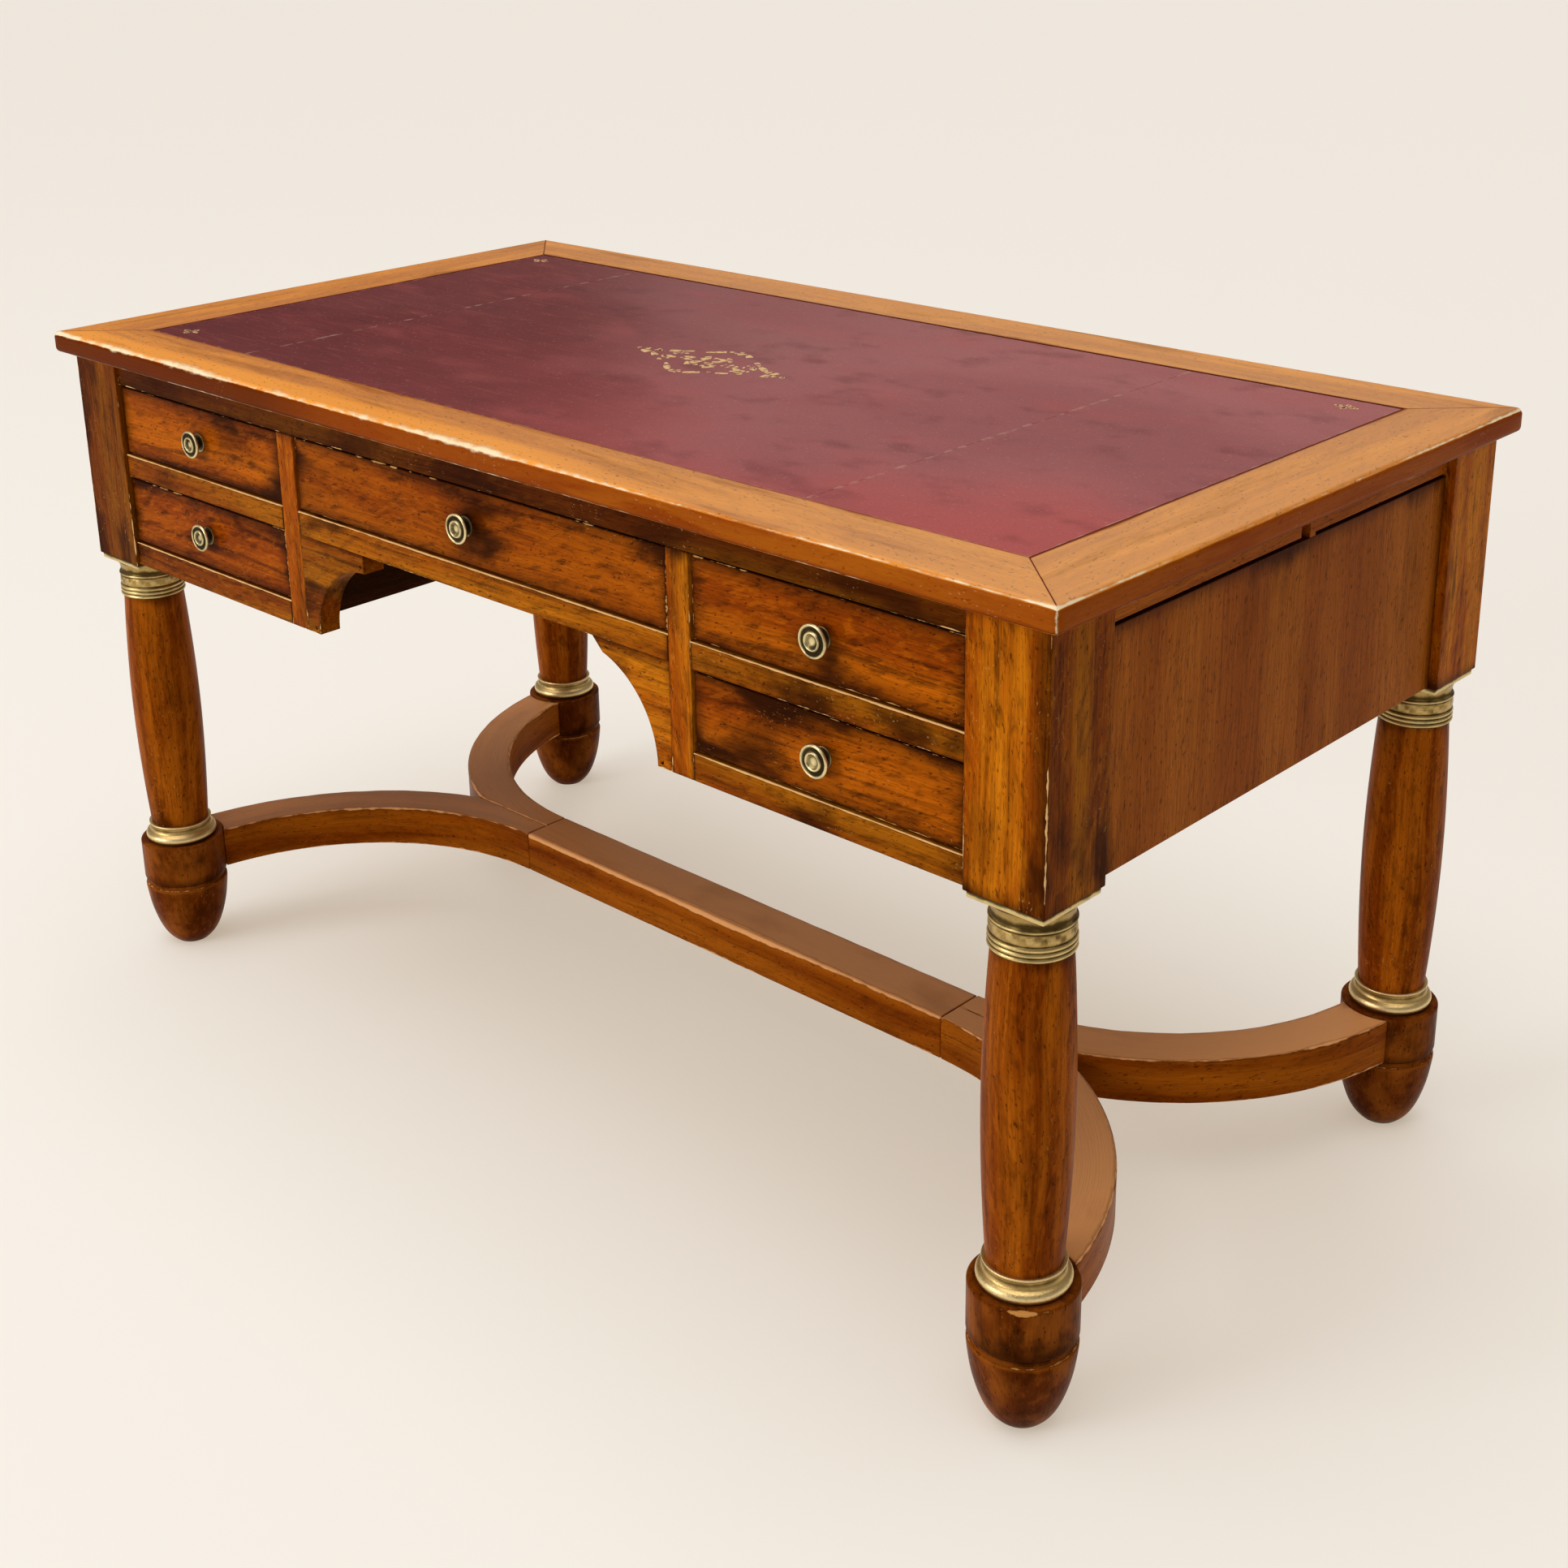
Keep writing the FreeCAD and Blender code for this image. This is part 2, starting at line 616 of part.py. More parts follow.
def build_guides():
    """Runners under the drawers, guide strips beside them, kickers above and stops behind."""
    stop_front = drawer_back_y() + S.stop_clearance
    stop_back = stop_front + S.stop_length
    case = (frame_back_y, panel_front_y)
    runners, strips, kickers, stops = [], [], [], []
    for name, side in SIDES:
        for level, floor in (("upper", upper_floor), ("lower", lower_floor)):
            under = floor - S.runner_thickness
            tag = f"{level}_{name}"
            runners.append(outer_runner(f"runner_{tag}_outer", side, floor))
            left, right = mirrored_pair(side, wall_out_x, divider_out_x + S.runner_ledge)
            runners.append(plain_board(f"runner_{tag}_inner", left, right, *case, under, floor))
            left, right = mirrored_pair(side, post_in_x, post_in_x + S.guide_width)
            strips.append(plain_board(f"strip_{tag}_outer", left, right, -post_in_y, post_in_y,
                                      floor, floor + S.guide_height))
            left, right = mirrored_pair(side, wall_out_x, divider_out_x)
            strips.append(plain_board(f"strip_{tag}_inner", left, right, *case, floor, floor + S.guide_height))
            for part, near, far in (("outer", post_in_x - S.runner_ledge, post_in_x),
                                    ("inner", divider_out_x, divider_out_x + S.runner_ledge)):
                left, right = mirrored_pair(side, near, far)
                stops.append(plain_board(f"stop_{tag}_{part}", left, right, stop_front, stop_back,
                                         floor, floor + S.stop_height))
        left, right = mirrored_pair(side, knee_x - S.runner_ledge, knee_x)
        runners.append(plain_board(f"runner_centre_{name}", left, right, *case,
                                   upper_floor - S.runner_thickness, upper_floor))
        stops.append(plain_board(f"stop_centre_{name}", left, right, stop_front, stop_back,
                                 upper_floor, upper_floor + S.stop_height))
        left, right = mirrored_pair(side, post_in_x - S.kicker_width, post_in_x)
        kickers.append(plain_board(f"kicker_{name}_outer", left, right, frame_back_y, back_rail_front_y,
                                   upper_top, top_under))
        left, right = mirrored_pair(side, knee_x - S.kicker_width / 2, divider_out_x + S.kicker_width / 2)
        kickers.append(plain_board(f"kicker_{name}_inner", left, right, frame_back_y, back_rail_front_y,
                                   upper_top, top_under))
    return [group("drawer_runners", runners), group("guide_strips", strips),
            group("drawer_kickers", kickers), group("drawer_stops", stops)]


def capital_profile():
    """Half section of a capital under its plate: chased band and hollow."""
    hollow_top = S.capital_height - S.plate_thickness
    band_top = hollow_top - S.hollow_height
    return [
        (NOTHING, NOTHING),
        (S.frieze_radius, NOTHING),
        (S.frieze_radius, band_top),
        (S.hollow_radius, band_top + S.hollow_foot),
        (S.hollow_top_radius, hollow_top),
        (NOTHING, hollow_top),
    ]


def build_capitals():
    """Brass capitals: a square plate over a turned neck, with a square hole for the column's tenon."""
    pieces = []
    half = S.post_width / 2 - S.plate_inset
    for name, side, end in CORNERS:
        label = f"capital_{name}"
        body = new_body(label)
        revolve(body, outline(body, f"{label}_section", "XZ_Plane", capital_profile()))
        pad(body, square_outline(body, f"{label}_plate", half, S.capital_height - S.plate_thickness),
            S.plate_thickness)
        pocket_through(body, square_outline(body, f"{label}_hole", S.tenon_width / 2 + S.socket_clearance))
        move_to(body, leg_x * side, leg_y * end, capital_under)
        pieces.append(body)
    return [group("capitals", pieces)]


def column_profile():
    """Half section of a column: straight foot inside the base ring and swelling shaft."""
    fullness = S.column_belly_radius - (S.column_top_radius + S.column_foot_radius) / 2
    run = (capital_under - base_top) / 2
    bend = (run * run + fullness * fullness) / (fullness * 2)
    return [
        (NOTHING, block_top),
        (S.column_foot_radius, block_top),
        (S.column_foot_radius, base_top),
        (S.column_top_radius, capital_under, bend, 1),
        (NOTHING, capital_under),
    ]


def base_profile():
    """Half section of a brass base ring: roll, hollow and flared rim."""
    bore = S.column_foot_radius + S.socket_clearance
    return [
        (bore, NOTHING),
        (S.roll_foot_radius, NOTHING),
        (S.roll_radius, S.roll_height / 2),
        (S.roll_top_radius, S.roll_height),
        (S.collar_radius, S.base_height - S.rim_height),
        (S.rim_radius, S.base_height),
        (bore, S.base_height),
    ]


def foot_profile():
    """Half section of a turned foot."""
    drop = S.foot_belly_radius - S.sole_radius
    bend = (S.foot_belly_height * S.foot_belly_height + drop * drop) / (drop * 2)
    return [
        (NOTHING, NOTHING),
        (S.sole_radius, NOTHING),
        (S.foot_belly_radius, S.foot_belly_height, bend, 1),
        (S.foot_top_radius, S.foot_height),
        (NOTHING, S.foot_height),
    ]


def build_legs():
    """Columns, base rings, round blocks and feet, held by the columns' square tenons."""
    columns, rings, blocks, feet = [], [], [], []
    tenon = S.tenon_width / 2
    hole = tenon + S.socket_clearance
    socket_depth = S.tenon_length + S.socket_clearance
    tenon_low = S.foot_height - S.tenon_length
    tenon_high = post_under + S.tenon_length
    for name, side, end in CORNERS:
        spot = (leg_x * side, leg_y * end)
        column = new_body(f"column_{name}")
        revolve(column, outline(column, f"column_{name}_section", "XZ_Plane", column_profile()))
        pad(column, square_outline(column, f"column_{name}_tenons", tenon, tenon_low), tenon_high - tenon_low)
        move_to(column, *spot)
        columns.append(column)
        ring = new_body(f"base_ring_{name}")
        revolve(ring, outline(ring, f"base_ring_{name}_section", "XZ_Plane", base_profile()))
        move_to(ring, *spot, block_top)
        rings.append(ring)
        block = new_body(f"block_{name}")
        pad(block, circle_outline(block, f"block_{name}_plan", "XY_Plane", NOTHING, NOTHING, S.block_radius),
            S.block_height)
        pocket_through(block, square_outline(block, f"block_{name}_hole", hole))
        move_to(block, *spot, S.foot_height)
        blocks.append(block)
        foot = new_body(f"foot_{name}")
        revolve(foot, outline(foot, f"foot_{name}_section", "XZ_Plane", foot_profile()))
        socket = square_outline(foot, f"foot_{name}_socket", hole, S.foot_height - socket_depth)
        pocket(foot, socket, socket_depth, backwards=True)
        move_to(foot, *spot)
        feet.append(foot)
    return [group("columns", columns), group("base_rings", rings),
            group("leg_blocks", blocks), group("feet", feet)]


def stretcher_arm(label, side, end):
    """Curved arm: a band between two arcs whose middle line meets the leg's axis.

    The arcs share a centre straight out from the joint, so the inner one runs on into the bar.
    """
    half_bar = S.bar_width / 2
    over = leg_x - S.joint_place
    back = leg_y - half_bar
    inner = place(f"{label}_inner_radius", (over * over + back * back - S.arm_width * S.arm_width / 4)
                  / (S.arm_width + back * 2))
    outer = inner + S.arm_width
    middle = inner + S.arm_width / 2
    centre_y = half_bar + inner
    meeting_x = S.joint_place + (outer * outer - centre_y * centre_y).root()
    toward_x, toward_y = over / middle, (leg_y - centre_y) / middle
    turn = -side * end
    corners = [
        (S.joint_place * side, half_bar * end),
        (S.joint_place * side, NOTHING),
        (meeting_x * side, NOTHING),
        ((S.joint_place + toward_x * outer) * side, (centre_y + toward_y * outer) * end, outer, -turn),
        ((S.joint_place + toward_x * inner) * side, (centre_y + toward_y * inner) * end),
    ]
    corners[0] = corners[0] + (inner, turn)
    body = new_body(label)
    pad(body, outline(body, f"{label}_plan", "XY_Plane", corners), S.block_height)
    seat = circle_outline(body, f"{label}_seat", "XY_Plane", leg_x * side, leg_y * end,
                          S.block_radius + S.arm_clearance)
    pocket_through(body, seat)
    move_to(body, z=S.foot_height)
    return body


def build_stretcher():
    """Four curved arms and the bar between them."""
    nodes = [stretcher_arm(f"stretcher_arm_{name}", side, end) for name, side, end in CORNERS]
    half = S.bar_width / 2
    bar = new_body("stretcher_bar")
    section = outline(bar, "stretcher_bar_section", "YZ_Plane",
                      box_corners(-half, half, NOTHING, S.block_height))
    pad(bar, section, S.joint_place * 2)
    move_to(bar, x=-S.joint_place, z=S.foot_height)
    return nodes + [bar]


def drawer_front(label, left, right, floor, ceiling):
    """Drawer front with bevelled face edges and a square hole for the knob's shank."""
    width = right - left - S.front_gap * 2
    height = ceiling - floor - S.front_gap * 2
    body = new_body(label)
    face = outline(body, f"{label}_face", "XZ_Plane", box_corners(NOTHING, width, NOTHING, height))
    blank = pad(body, face, S.front_thickness, backwards=True)
    bevelled(body, blank, on_level(Y_AXIS, 0.0), S.front_arris)
    half = S.knob_shank_width / 2 + S.socket_clearance
    hole = outline(body, f"{label}_hole", "XZ_Plane",
                   box_corners(width / 2 - half, width / 2 + half, height / 2 - half, height / 2 + half))
    pocket_through(body, hole)
    move_to(body, left + S.front_gap, frame_front_y + S.front_recess, floor + S.front_gap)
    return body


def drawer_side(label, x, turn, front, back, low, height):
    """Drawer side grooved for the bottom; turn says which way its groove looks."""
    body = new_body(label)
    groove_low = S.bottom_lift - S.groove_clearance
    groove_high = S.bottom_lift + S.bottom_thickness + S.groove_clearance
    groove_x = S.drawer_wall - S.bottom_groove
    corners = [(NOTHING, NOTHING), (S.drawer_wall, NOTHING), (S.drawer_wall, groove_low),
               (groove_x, groove_low), (groove_x, groove_high), (S.drawer_wall, groove_high),
               (S.drawer_wall, height), (NOTHING, height)]
    corners = [(across * turn, up) for across, up in corners]
    section = outline(body, f"{label}_section", "XZ_Plane", corners)
    pad(body, section, back - front, backwards=True)
    move_to(body, x, front, low)
    return body


def drawer_parts(label, left, right, floor, ceiling):
    """Two grooved sides and a back in one node, and the bottom that slides in under the back."""
    low = floor + S.drawer_lift
    height = ceiling - floor - S.drawer_lift - S.drawer_top_gap
    out_left, out_right = left + S.drawer_side_gap, right - S.drawer_side_gap
    front = frame_front_y + S.front_recess + S.front_thickness
    back = drawer_back_y()
    in_left, in_right = out_left + S.drawer_wall, out_right - S.drawer_wall
    bottom_low = low + S.bottom_lift
    bottom_top = bottom_low + S.bottom_thickness
    into = S.bottom_groove - S.groove_clearance
    walls = [
        drawer_side(f"{label}_side_left", out_left, 1, front, back, low, height),
        drawer_side(f"{label}_side_right", out_right, -1, front, back, low, height),
        plain_board(f"{label}_back", in_left, in_right, back - S.drawer_wall, back, bottom_top, low + height),
    ]
    return [group(f"{label}_walls", walls),
            plain_board(f"{label}_bottom", in_left - into, in_right + into, front, back, bottom_low, bottom_top)]


def knob_profile():
    """Half section of a knob, its axis upright: neck and head."""
    head_back = S.knob_projection - S.knob_rim
    return [
        (NOTHING, NOTHING),
        (S.knob_neck_radius, NOTHING),
        (S.knob_neck_radius, head_back),
        (S.knob_radius, head_back),
        (S.knob_radius, S.knob_projection),
        (NOTHING, S.knob_projection),
    ]


def knob(label, left, right, floor, ceiling):
    """Turned brass knob in the middle of a drawer front."""
    body = new_body(label)
    revolve(body, outline(body, f"{label}_section", "XZ_Plane", knob_profile()))
    pad(body, square_outline(body, f"{label}_shank", S.knob_shank_width / 2), S.knob_shank_length, backwards=True)
    x, y, z = (left + right) / 2, frame_front_y + S.front_recess, (floor + ceiling) / 2
    move_to(body, x, y, z)
    body.Placement = FreeCAD.Placement(body.Placement.Base, FreeCAD.Rotation(X_AXIS, QUARTER_TURN))
    return body


QUARTER_TURN = 90


def build_drawers():
    """Five drawers, each a front, walls, a bottom and a knob."""
    nodes = []
    bays = [("centre", -knee_x, knee_x, upper_floor, upper_top)]
    for name, side in SIDES:
        left, right = mirrored_pair(side, divider_out_x, post_in_x)
        bays.append((f"upper_{name}", left, right, upper_floor, upper_top))
        bays.append((f"lower_{name}", left, right, lower_floor, lower_top))
    for name, *bay in bays:
        nodes.append(drawer_front(f"drawer_{name}_front", *bay))
        nodes += drawer_parts(f"drawer_{name}", *bay)
        nodes.append(knob(f"drawer_{name}_knob", *bay))
    return nodes


def check_and_export(nodes):
    """Stop on any failed object, then write each node's solids to its own file."""
    doc.recompute()
    for thing in doc.Objects:
        if "Invalid" in thing.State or "Error" in thing.State:
            raise RuntimeError(f"{thing.Label} failed: {thing.State}")
    os.makedirs("parts", exist_ok=True)
    for node in nodes:
        shape = node.Shape
        if shape.isNull() or not shape.isValid() or not shape.Solids:
            raise RuntimeError(f"{node.Label} has no sound shape")
        shape.exportStep(os.path.join("parts", f"{node.Label}.step"))
        box = shape.BoundBox
        print(f"{node.Label}: {len(shape.Solids)} solids, {shape.Volume / 1000:.1f} cm3, "
              f"x {box.XMin:.1f}..{box.XMax:.1f}, y {box.YMin:.1f}..{box.YMax:.1f}, "
              f"z {box.ZMin:.1f}..{box.ZMax:.1f}")
    print(len(nodes), "nodes")


all_nodes = (build_top() + build_posts() + build_front_frame() + build_sides() + build_case()
             + build_guides() + build_capitals() + build_legs() + build_stretcher() + build_drawers())
check_and_export(all_nodes)
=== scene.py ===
import logging
import math
from collections.abc import Callable
from dataclasses import dataclass, field
from enum import Enum
from functools import lru_cache, partial

import bmesh
import bpy
import numpy as np
from mathutils import Matrix, Vector


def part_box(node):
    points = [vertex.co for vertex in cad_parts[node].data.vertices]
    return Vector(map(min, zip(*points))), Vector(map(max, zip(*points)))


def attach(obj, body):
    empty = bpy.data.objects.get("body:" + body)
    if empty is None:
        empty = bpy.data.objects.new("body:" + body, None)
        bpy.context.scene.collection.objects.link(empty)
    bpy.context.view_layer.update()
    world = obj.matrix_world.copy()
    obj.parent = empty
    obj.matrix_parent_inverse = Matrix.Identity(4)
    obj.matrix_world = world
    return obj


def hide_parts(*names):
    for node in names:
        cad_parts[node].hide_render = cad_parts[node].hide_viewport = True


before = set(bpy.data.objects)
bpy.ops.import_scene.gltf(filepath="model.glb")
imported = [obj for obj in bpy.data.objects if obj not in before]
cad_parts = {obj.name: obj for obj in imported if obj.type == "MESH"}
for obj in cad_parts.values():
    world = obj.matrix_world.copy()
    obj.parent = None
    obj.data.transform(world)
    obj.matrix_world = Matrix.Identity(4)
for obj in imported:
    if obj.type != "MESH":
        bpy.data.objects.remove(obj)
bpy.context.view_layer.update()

LOG = logging.getLogger("desk")

# How far from an arris use rubs a piece, and a distance that stands for no arris or joint, in millimetres.
RUB_REACH = 12
NOWHERE = 1e3

# The setting of a MapRange node that eases in and out.
SOFT = {"interpolation_type": "SMOOTHSTEP"}

Socket = bpy.types.NodeSocket
Tree = bpy.types.NodeTree
Node = Callable[..., Socket]
Material = bpy.types.Material


class Run(Enum):
    """Which way the grain runs: along an axis of the desk, or as the piece's own attribute says."""

    X = (0, 1, 2)
    Y = (1, 2, 0)
    Z = (2, 0, 1)
    PIECE = None


def linear(colour: str) -> tuple[float, ...]:
    """Turns an sRGB hex colour to linear RGBA.

    Args:
        colour: the colour as #rrggbb.

    Returns:
        Red, green, blue and an alpha of one.
    """
    srgb = np.array([int(colour[i:i + 2], 16) for i in (1, 3, 5)]) / 255
    levels = np.where(srgb <= 0.04045, srgb / 12.92, ((srgb + 0.055) / 1.055) ** 2.4)
    return (*levels.tolist(), 1.0)


def cells(along: float, across: float, deep: float = 0) -> tuple[float, float, float]:
    """Noise cells per metre for a pattern of that size in millimetres, as deep as wide unless given."""
    return (1000 / along, 1000 / across, 1000 / (deep or across))


def add(tree: Tree, kind: str, inputs: dict | tuple = (), out: int | str = 0, **settings: object) -> Socket:
    """Adds one shader node.

    Args:
        tree: the material's node tree.
        kind: the node's type without its ShaderNode prefix.
        inputs: a value or the socket that feeds it, for each input in order or, in a dict, by name or number.
            A MapRange takes its value, From Min, From Max, To Min and To Max.
        out: which of the node's outputs to hand back, by number or name.
        **settings: the node's own settings.

    Returns:
        The chosen output socket.
    """
    made = tree.nodes.new("ShaderNode" + kind)
    for name, value in settings.items():
        setattr(made, name, value)
    for name, value in (inputs.items() if isinstance(inputs, dict) else enumerate(inputs)):
        if isinstance(value, bpy.types.NodeSocket):
            tree.links.new(value, made.inputs[name])
        else:
            made.inputs[name].default_value = value
    return made.outputs[out] if len(made.outputs) else None


def masks(node: Node, rows: tuple) -> dict[str, Socket]:
    """Builds a finish's patterns, each a cloud of noise cut to a mask from 0 to 1.

    Args:
        node: adds a node to the material's tree.
        rows: for each pattern its name, the coordinates it reads, its size in millimetres, its detail, and
            the two noise levels that become 0 and 1.

    Returns:
        The masks by name.
    """
    made = {}
    for name, source, size, detail, low, high in rows:
        spot = node("VectorMath", (source, cells(*size)), operation="MULTIPLY")
        cloud = node("TexNoise", {"Vector": spot, "Scale": 1.0, "Detail": detail})
        made[name] = node("MapRange", (cloud, low, high), **SOFT)
    return made


def layered(node: Node, ground: str, layers: tuple) -> Socket:
    """Lays colours over one another.

    Args:
        node: adds a node to the material's tree.
        ground: the lowest colour as #rrggbb.
        layers: for each layer its mask, how strongly it covers, and its colour.

    Returns:
        The finished colour's socket.
    """
    colour = linear(ground)
    for mask, part, paint in layers:
        if part:
            share = node("Math", (mask, part), operation="MULTIPLY")
            colour = node("Mix", {0: share, 6: colour, 7: linear(paint)}, out=2, data_type="RGBA")
    return colour


def grain_vector(node: Node, run: Run) -> Socket:
    """The wood's own coordinates in metres, first along the grain and then across it.

    Args:
        node: adds a node to the material's tree.
        run: an axis for a CAD node, or PIECE for a piece with a grain attribute.

    Returns:
        The vector socket.
    """
    if run is Run.PIECE:
        return node("Attribute", out=1, attribute_name="grain")
    place = node("TexCoord", out=3)
    if run is Run.X:
        return place
    return node("CombineXYZ", {slot: node("SeparateXYZ", (place,), out=axis)
                               for slot, axis in enumerate(run.value)})


@dataclass(frozen=True)
class Finish:
    """What a piece is made of and how its surface was worked.

    Attributes:
        name: the finish's name.
    """

    name: str

    @lru_cache(maxsize=None)
    def material(self, run: Run = Run.PIECE) -> Material:
        """Makes the finish's material, once for each way of the grain.

        Args:
            run: which way the grain runs.

        Returns:
            The material.
        """
        made = bpy.data.materials.new(self.name if run is Run.PIECE else f"{self.name}_{run.name.lower()}")
        made.use_nodes = True
        made.node_tree.nodes.clear()
        node = partial(add, made.node_tree)
        node("OutputMaterial", (self.surface(node, run),))
        return made

    def surface(self, node: Node, run: Run) -> Socket:
        """Builds the shader, which each finish does in its own way.

        Args:
            node: adds a node to the material's tree.
            run: which way the grain runs.

        Returns:
            The shader's socket.
        """
        raise NotImplementedError


@dataclass(frozen=True)
class Timber(Finish):
    """Stained and polished hardwood, sawn and planed, with pores, figure and the wear of long use.

    Thin polish over open pores gives the eye a warm, half-matt face with dark dashes along the grain, pale
    lines where arrises are rubbed to bare wood, and black ones where wax has filled the joints. Some arrises
    also carry painted highlight lines, upper sides a painted sheen, and joints and overhung parts painted
    shade.

    Attributes:
        dark, mid, light: colours of the streaks, the body and the pale figure.
        bare: colour of the bare wood where an arris is rubbed through, of the painted highlight lines and of
            the paler upper sides.
        figure: length and width in mm of the broad figure.
        streak: length and width in mm of the dark streaks.
        patch: length and width in mm of the patches of old polish.
        contrast: how strongly the broad figure shows.
        flame: how strongly short slanting flames of figure show.
        streaks: how strongly the streaks show.
        smudges: how strongly the patches darken the wood.
        dirt_and_shade: how dark the wood is beside a joint, as dirt and painted shade.
        soil_and_shade: colour of old polish, dust and painted shade, or the dark colour where none is given.
        pores: how strongly pores and fine dark lines show.
        gloss: how much of the room the polish mirrors.
        rubbed: how much of an arris is worn through, from 0 to 1.
        feather: how softly the wear ends, as a share of the 12 mm beside an arris.
        outline: how dark the dirt beside the wear is.
        nicks: how strongly small pale nicks show.
        dints: how strongly short dark dints show.
        dust_and_sheen: how pale the upper sides are, as dust and a painted sheen.
        roughness: of the polished face.
        sheen: how much of the room the upper sides mirror, on top of the gloss.
        amber: colour that the polish gives its reflections.
    """

    dark: str
    mid: str
    light: str
    bare: str
    figure: tuple[float, float] = (620, 46)
    streak: tuple[float, float] = (260, 7)
    patch: tuple[float, float] = (130, 60)
    contrast: float = 1
    flame: float = 0.4
    streaks: float = 0.7
    smudges: float = 0.45
    dirt_and_shade: float = 0.7
    soil_and_shade: str = ""
    pores: float = 1
    gloss: float = 0.02
    rubbed: float = 0.5
    feather: float = 0.05
    outline: float = 0.5
    nicks: float = 0.2
    dints: float = 0.6
    dust_and_sheen: float = 0
    roughness: float = 0.36
    sheen: float = 0
    amber: str = "#ffb878"

    def surface(self, node: Node, run: Run) -> Socket:
        """Builds the wood, whose pores are 0.3 mm wide and drawn at 1.2 mm so that they show.

        Args:
            node: adds a node to the material's tree.
            run: which way the grain runs.

        Returns:
            The shader's socket.
        """
        # The grain wanders a few millimetres, as a tree's does. Flames lie at a slant to it, scuffs across.
        grain = grain_vector(node, run)
        slow = node("VectorMath", (grain, cells(240, 60)), operation="MULTIPLY")
        sway = node("TexNoise", {"Vector": slow, "Scale": 1.0, "Detail": 1.0}, out=1)
        bent = node("VectorMath", (sway, (0, 0.02, 0.02), grain), operation="MULTIPLY_ADD")
        slant, across = (node("VectorRotate", {"Vector": bent, "Axis": (0, 0.7, 0.7),
                                               "Angle": math.radians(angle)}) for angle in (20, -38))
        mask = masks(node, (
            ("figure", bent, self.figure, 3.0, 0.38, 0.64), ("streak", bent, self.streak, 4.0, 0.50, 0.74),
            ("vein", bent, (60, 1.8), 2.0, 0.3, 0.7), ("pore", bent, (9, 1.2), 1.0, 0.58, 0.70),
            ("flame", slant, (34, 6), 3.0, 0.50, 0.68), ("shade", slant, (46, 9), 4.0, 0.52, 0.72),
            ("smudge", bent, self.patch, 5.0, 0.50, 0.74), ("ragged", bent, (13, 6), 4.0, 0.3, 0.7),
            ("stretch", bent, (150, 110), 2.0, 0.36, 0.64), ("nick", bent, (4.4, 2.2), 0.0, 0.77, 0.82),
            ("dint", slant, (9, 2.6), 1.0, 0.66, 0.72), ("scuff", across, (26, 1.6), 0.0, 0.77, 0.82),
            ("nick_place", bent, (90, 60), 1.0, 0.50, 0.62)))

        # Wear: bare wood where an arris is rubbed through, with a dark rim of old polish beside it, and pale
        # painted highlight lines along bright arrises.
        arris, crease = (node("Attribute", out=2, attribute_name=name) for name in ("arris", "crease"))
        edge = node("Math", (mask["ragged"], 0.20, arris), operation="MULTIPLY_ADD")
        edge = node("Math", (mask["stretch"], 0.24, edge), operation="MULTIPLY_ADD")
        line = 1.34 - 0.16 * self.rubbed
        worn = node("MapRange", (edge, line - self.feather, line + 0.02), **SOFT)
        rim = node("MapRange", (edge, line - 0.36, line - 0.06, 0, self.outline), **SOFT)
        nick = node("Math", (mask["nick"], mask["scuff"]), operation="MAXIMUM")
        nick = node("Math", (nick, mask["nick_place"]), operation="MULTIPLY")

        # Dirt and painted shade: dark in creases and beside joints, nearly black in the joints and as painted
        # shadow under overhangs, and paler instead where polish and a painted sheen lie.
        settled = node("Math", (mask["smudge"], 0.5, crease), operation="MULTIPLY_ADD")
        # Where the crease is below nothing, the light colour is rubbed polish and a painted sheen.
        polish_and_sheen = node("MapRange", (settled, 0.0, -0.8, 0, 0.9))
        grime_and_shade = node("MapRange", (settled, 0.45, 1.25, 0, self.dirt_and_shade), **SOFT)
        black = node("MapRange", (crease, 1.15, 1.6, 0, 0.92), **SOFT)

        # Upper sides are painted paler, as dust and a painted sheen, more so at the right-hand end and the
        # back.
        facing = node("SeparateXYZ", (node("TexCoord", out=1),), out=2)
        flat = node("MapRange", (facing, 0.6, 0.95))
        upper = node("Math", (mask["smudge"], -0.3, flat), operation="MULTIPLY_ADD", use_clamp=True)
        place = node("TexCoord", out=3)
        along, away = (node("SeparateXYZ", (place,), out=axis) for axis in (0, 1))
        dust_and_sheen_spread = node("Math", (away, 1.3, along), operation="MULTIPLY_ADD")
        dust_and_sheen_spread = node("MapRange", (dust_and_sheen_spread, -0.6, 0.1, 0.4))
        upper = node("Math", (upper, dust_and_sheen_spread), operation="MULTIPLY")

        colour = layered(node, self.mid, (
            (mask["figure"], self.contrast, self.light), (mask["streak"], self.streaks, self.dark),
            (mask["flame"], self.flame, self.light), (mask["shade"], self.flame, self.dark),
            (mask["vein"], 0.30 * self.pores, self.dark), (mask["pore"], 0.45 * self.pores, self.dark),
            (mask["smudge"], self.smudges, self.dark), (polish_and_sheen, 1.0, self.light),
            (mask["dint"], self.dints, self.dark), (upper, self.dust_and_sheen, self.bare),
            (grime_and_shade, 1.0, self.soil_and_shade or self.dark), (rim, 1.0, self.dark), (black, 1.0, self.dark),
            (worn, 1.0, self.bare), (nick, self.nicks, self.bare)))
        rough = node("MapRange", (mask["smudge"], 0, 1, self.roughness, self.roughness + 0.10))
        rough = node("Math", (worn, 0.2, rough), operation="MULTIPLY_ADD")
        hollow = node("Math", (mask["pore"], 0.35, mask["vein"]), operation="MULTIPLY_ADD")
        hollow = node("Math", (nick, 2.0, hollow), operation="MULTIPLY_ADD")
        relief = node("Bump", {"Height": hollow, "Strength": 0.25, "Distance": 0.0006}, invert=True)
        mirror = self.gloss
        if self.sheen:
            mirror = node("Math", (flat, self.sheen, mirror), operation="MULTIPLY_ADD")
        return node("BsdfPrincipled", {"Base Color": colour, "Roughness": rough, "Normal": relief,
                                       "IOR": 1.5, "Specular IOR Level": mirror,
                                       "Specular Tint": linear(self.amber)})


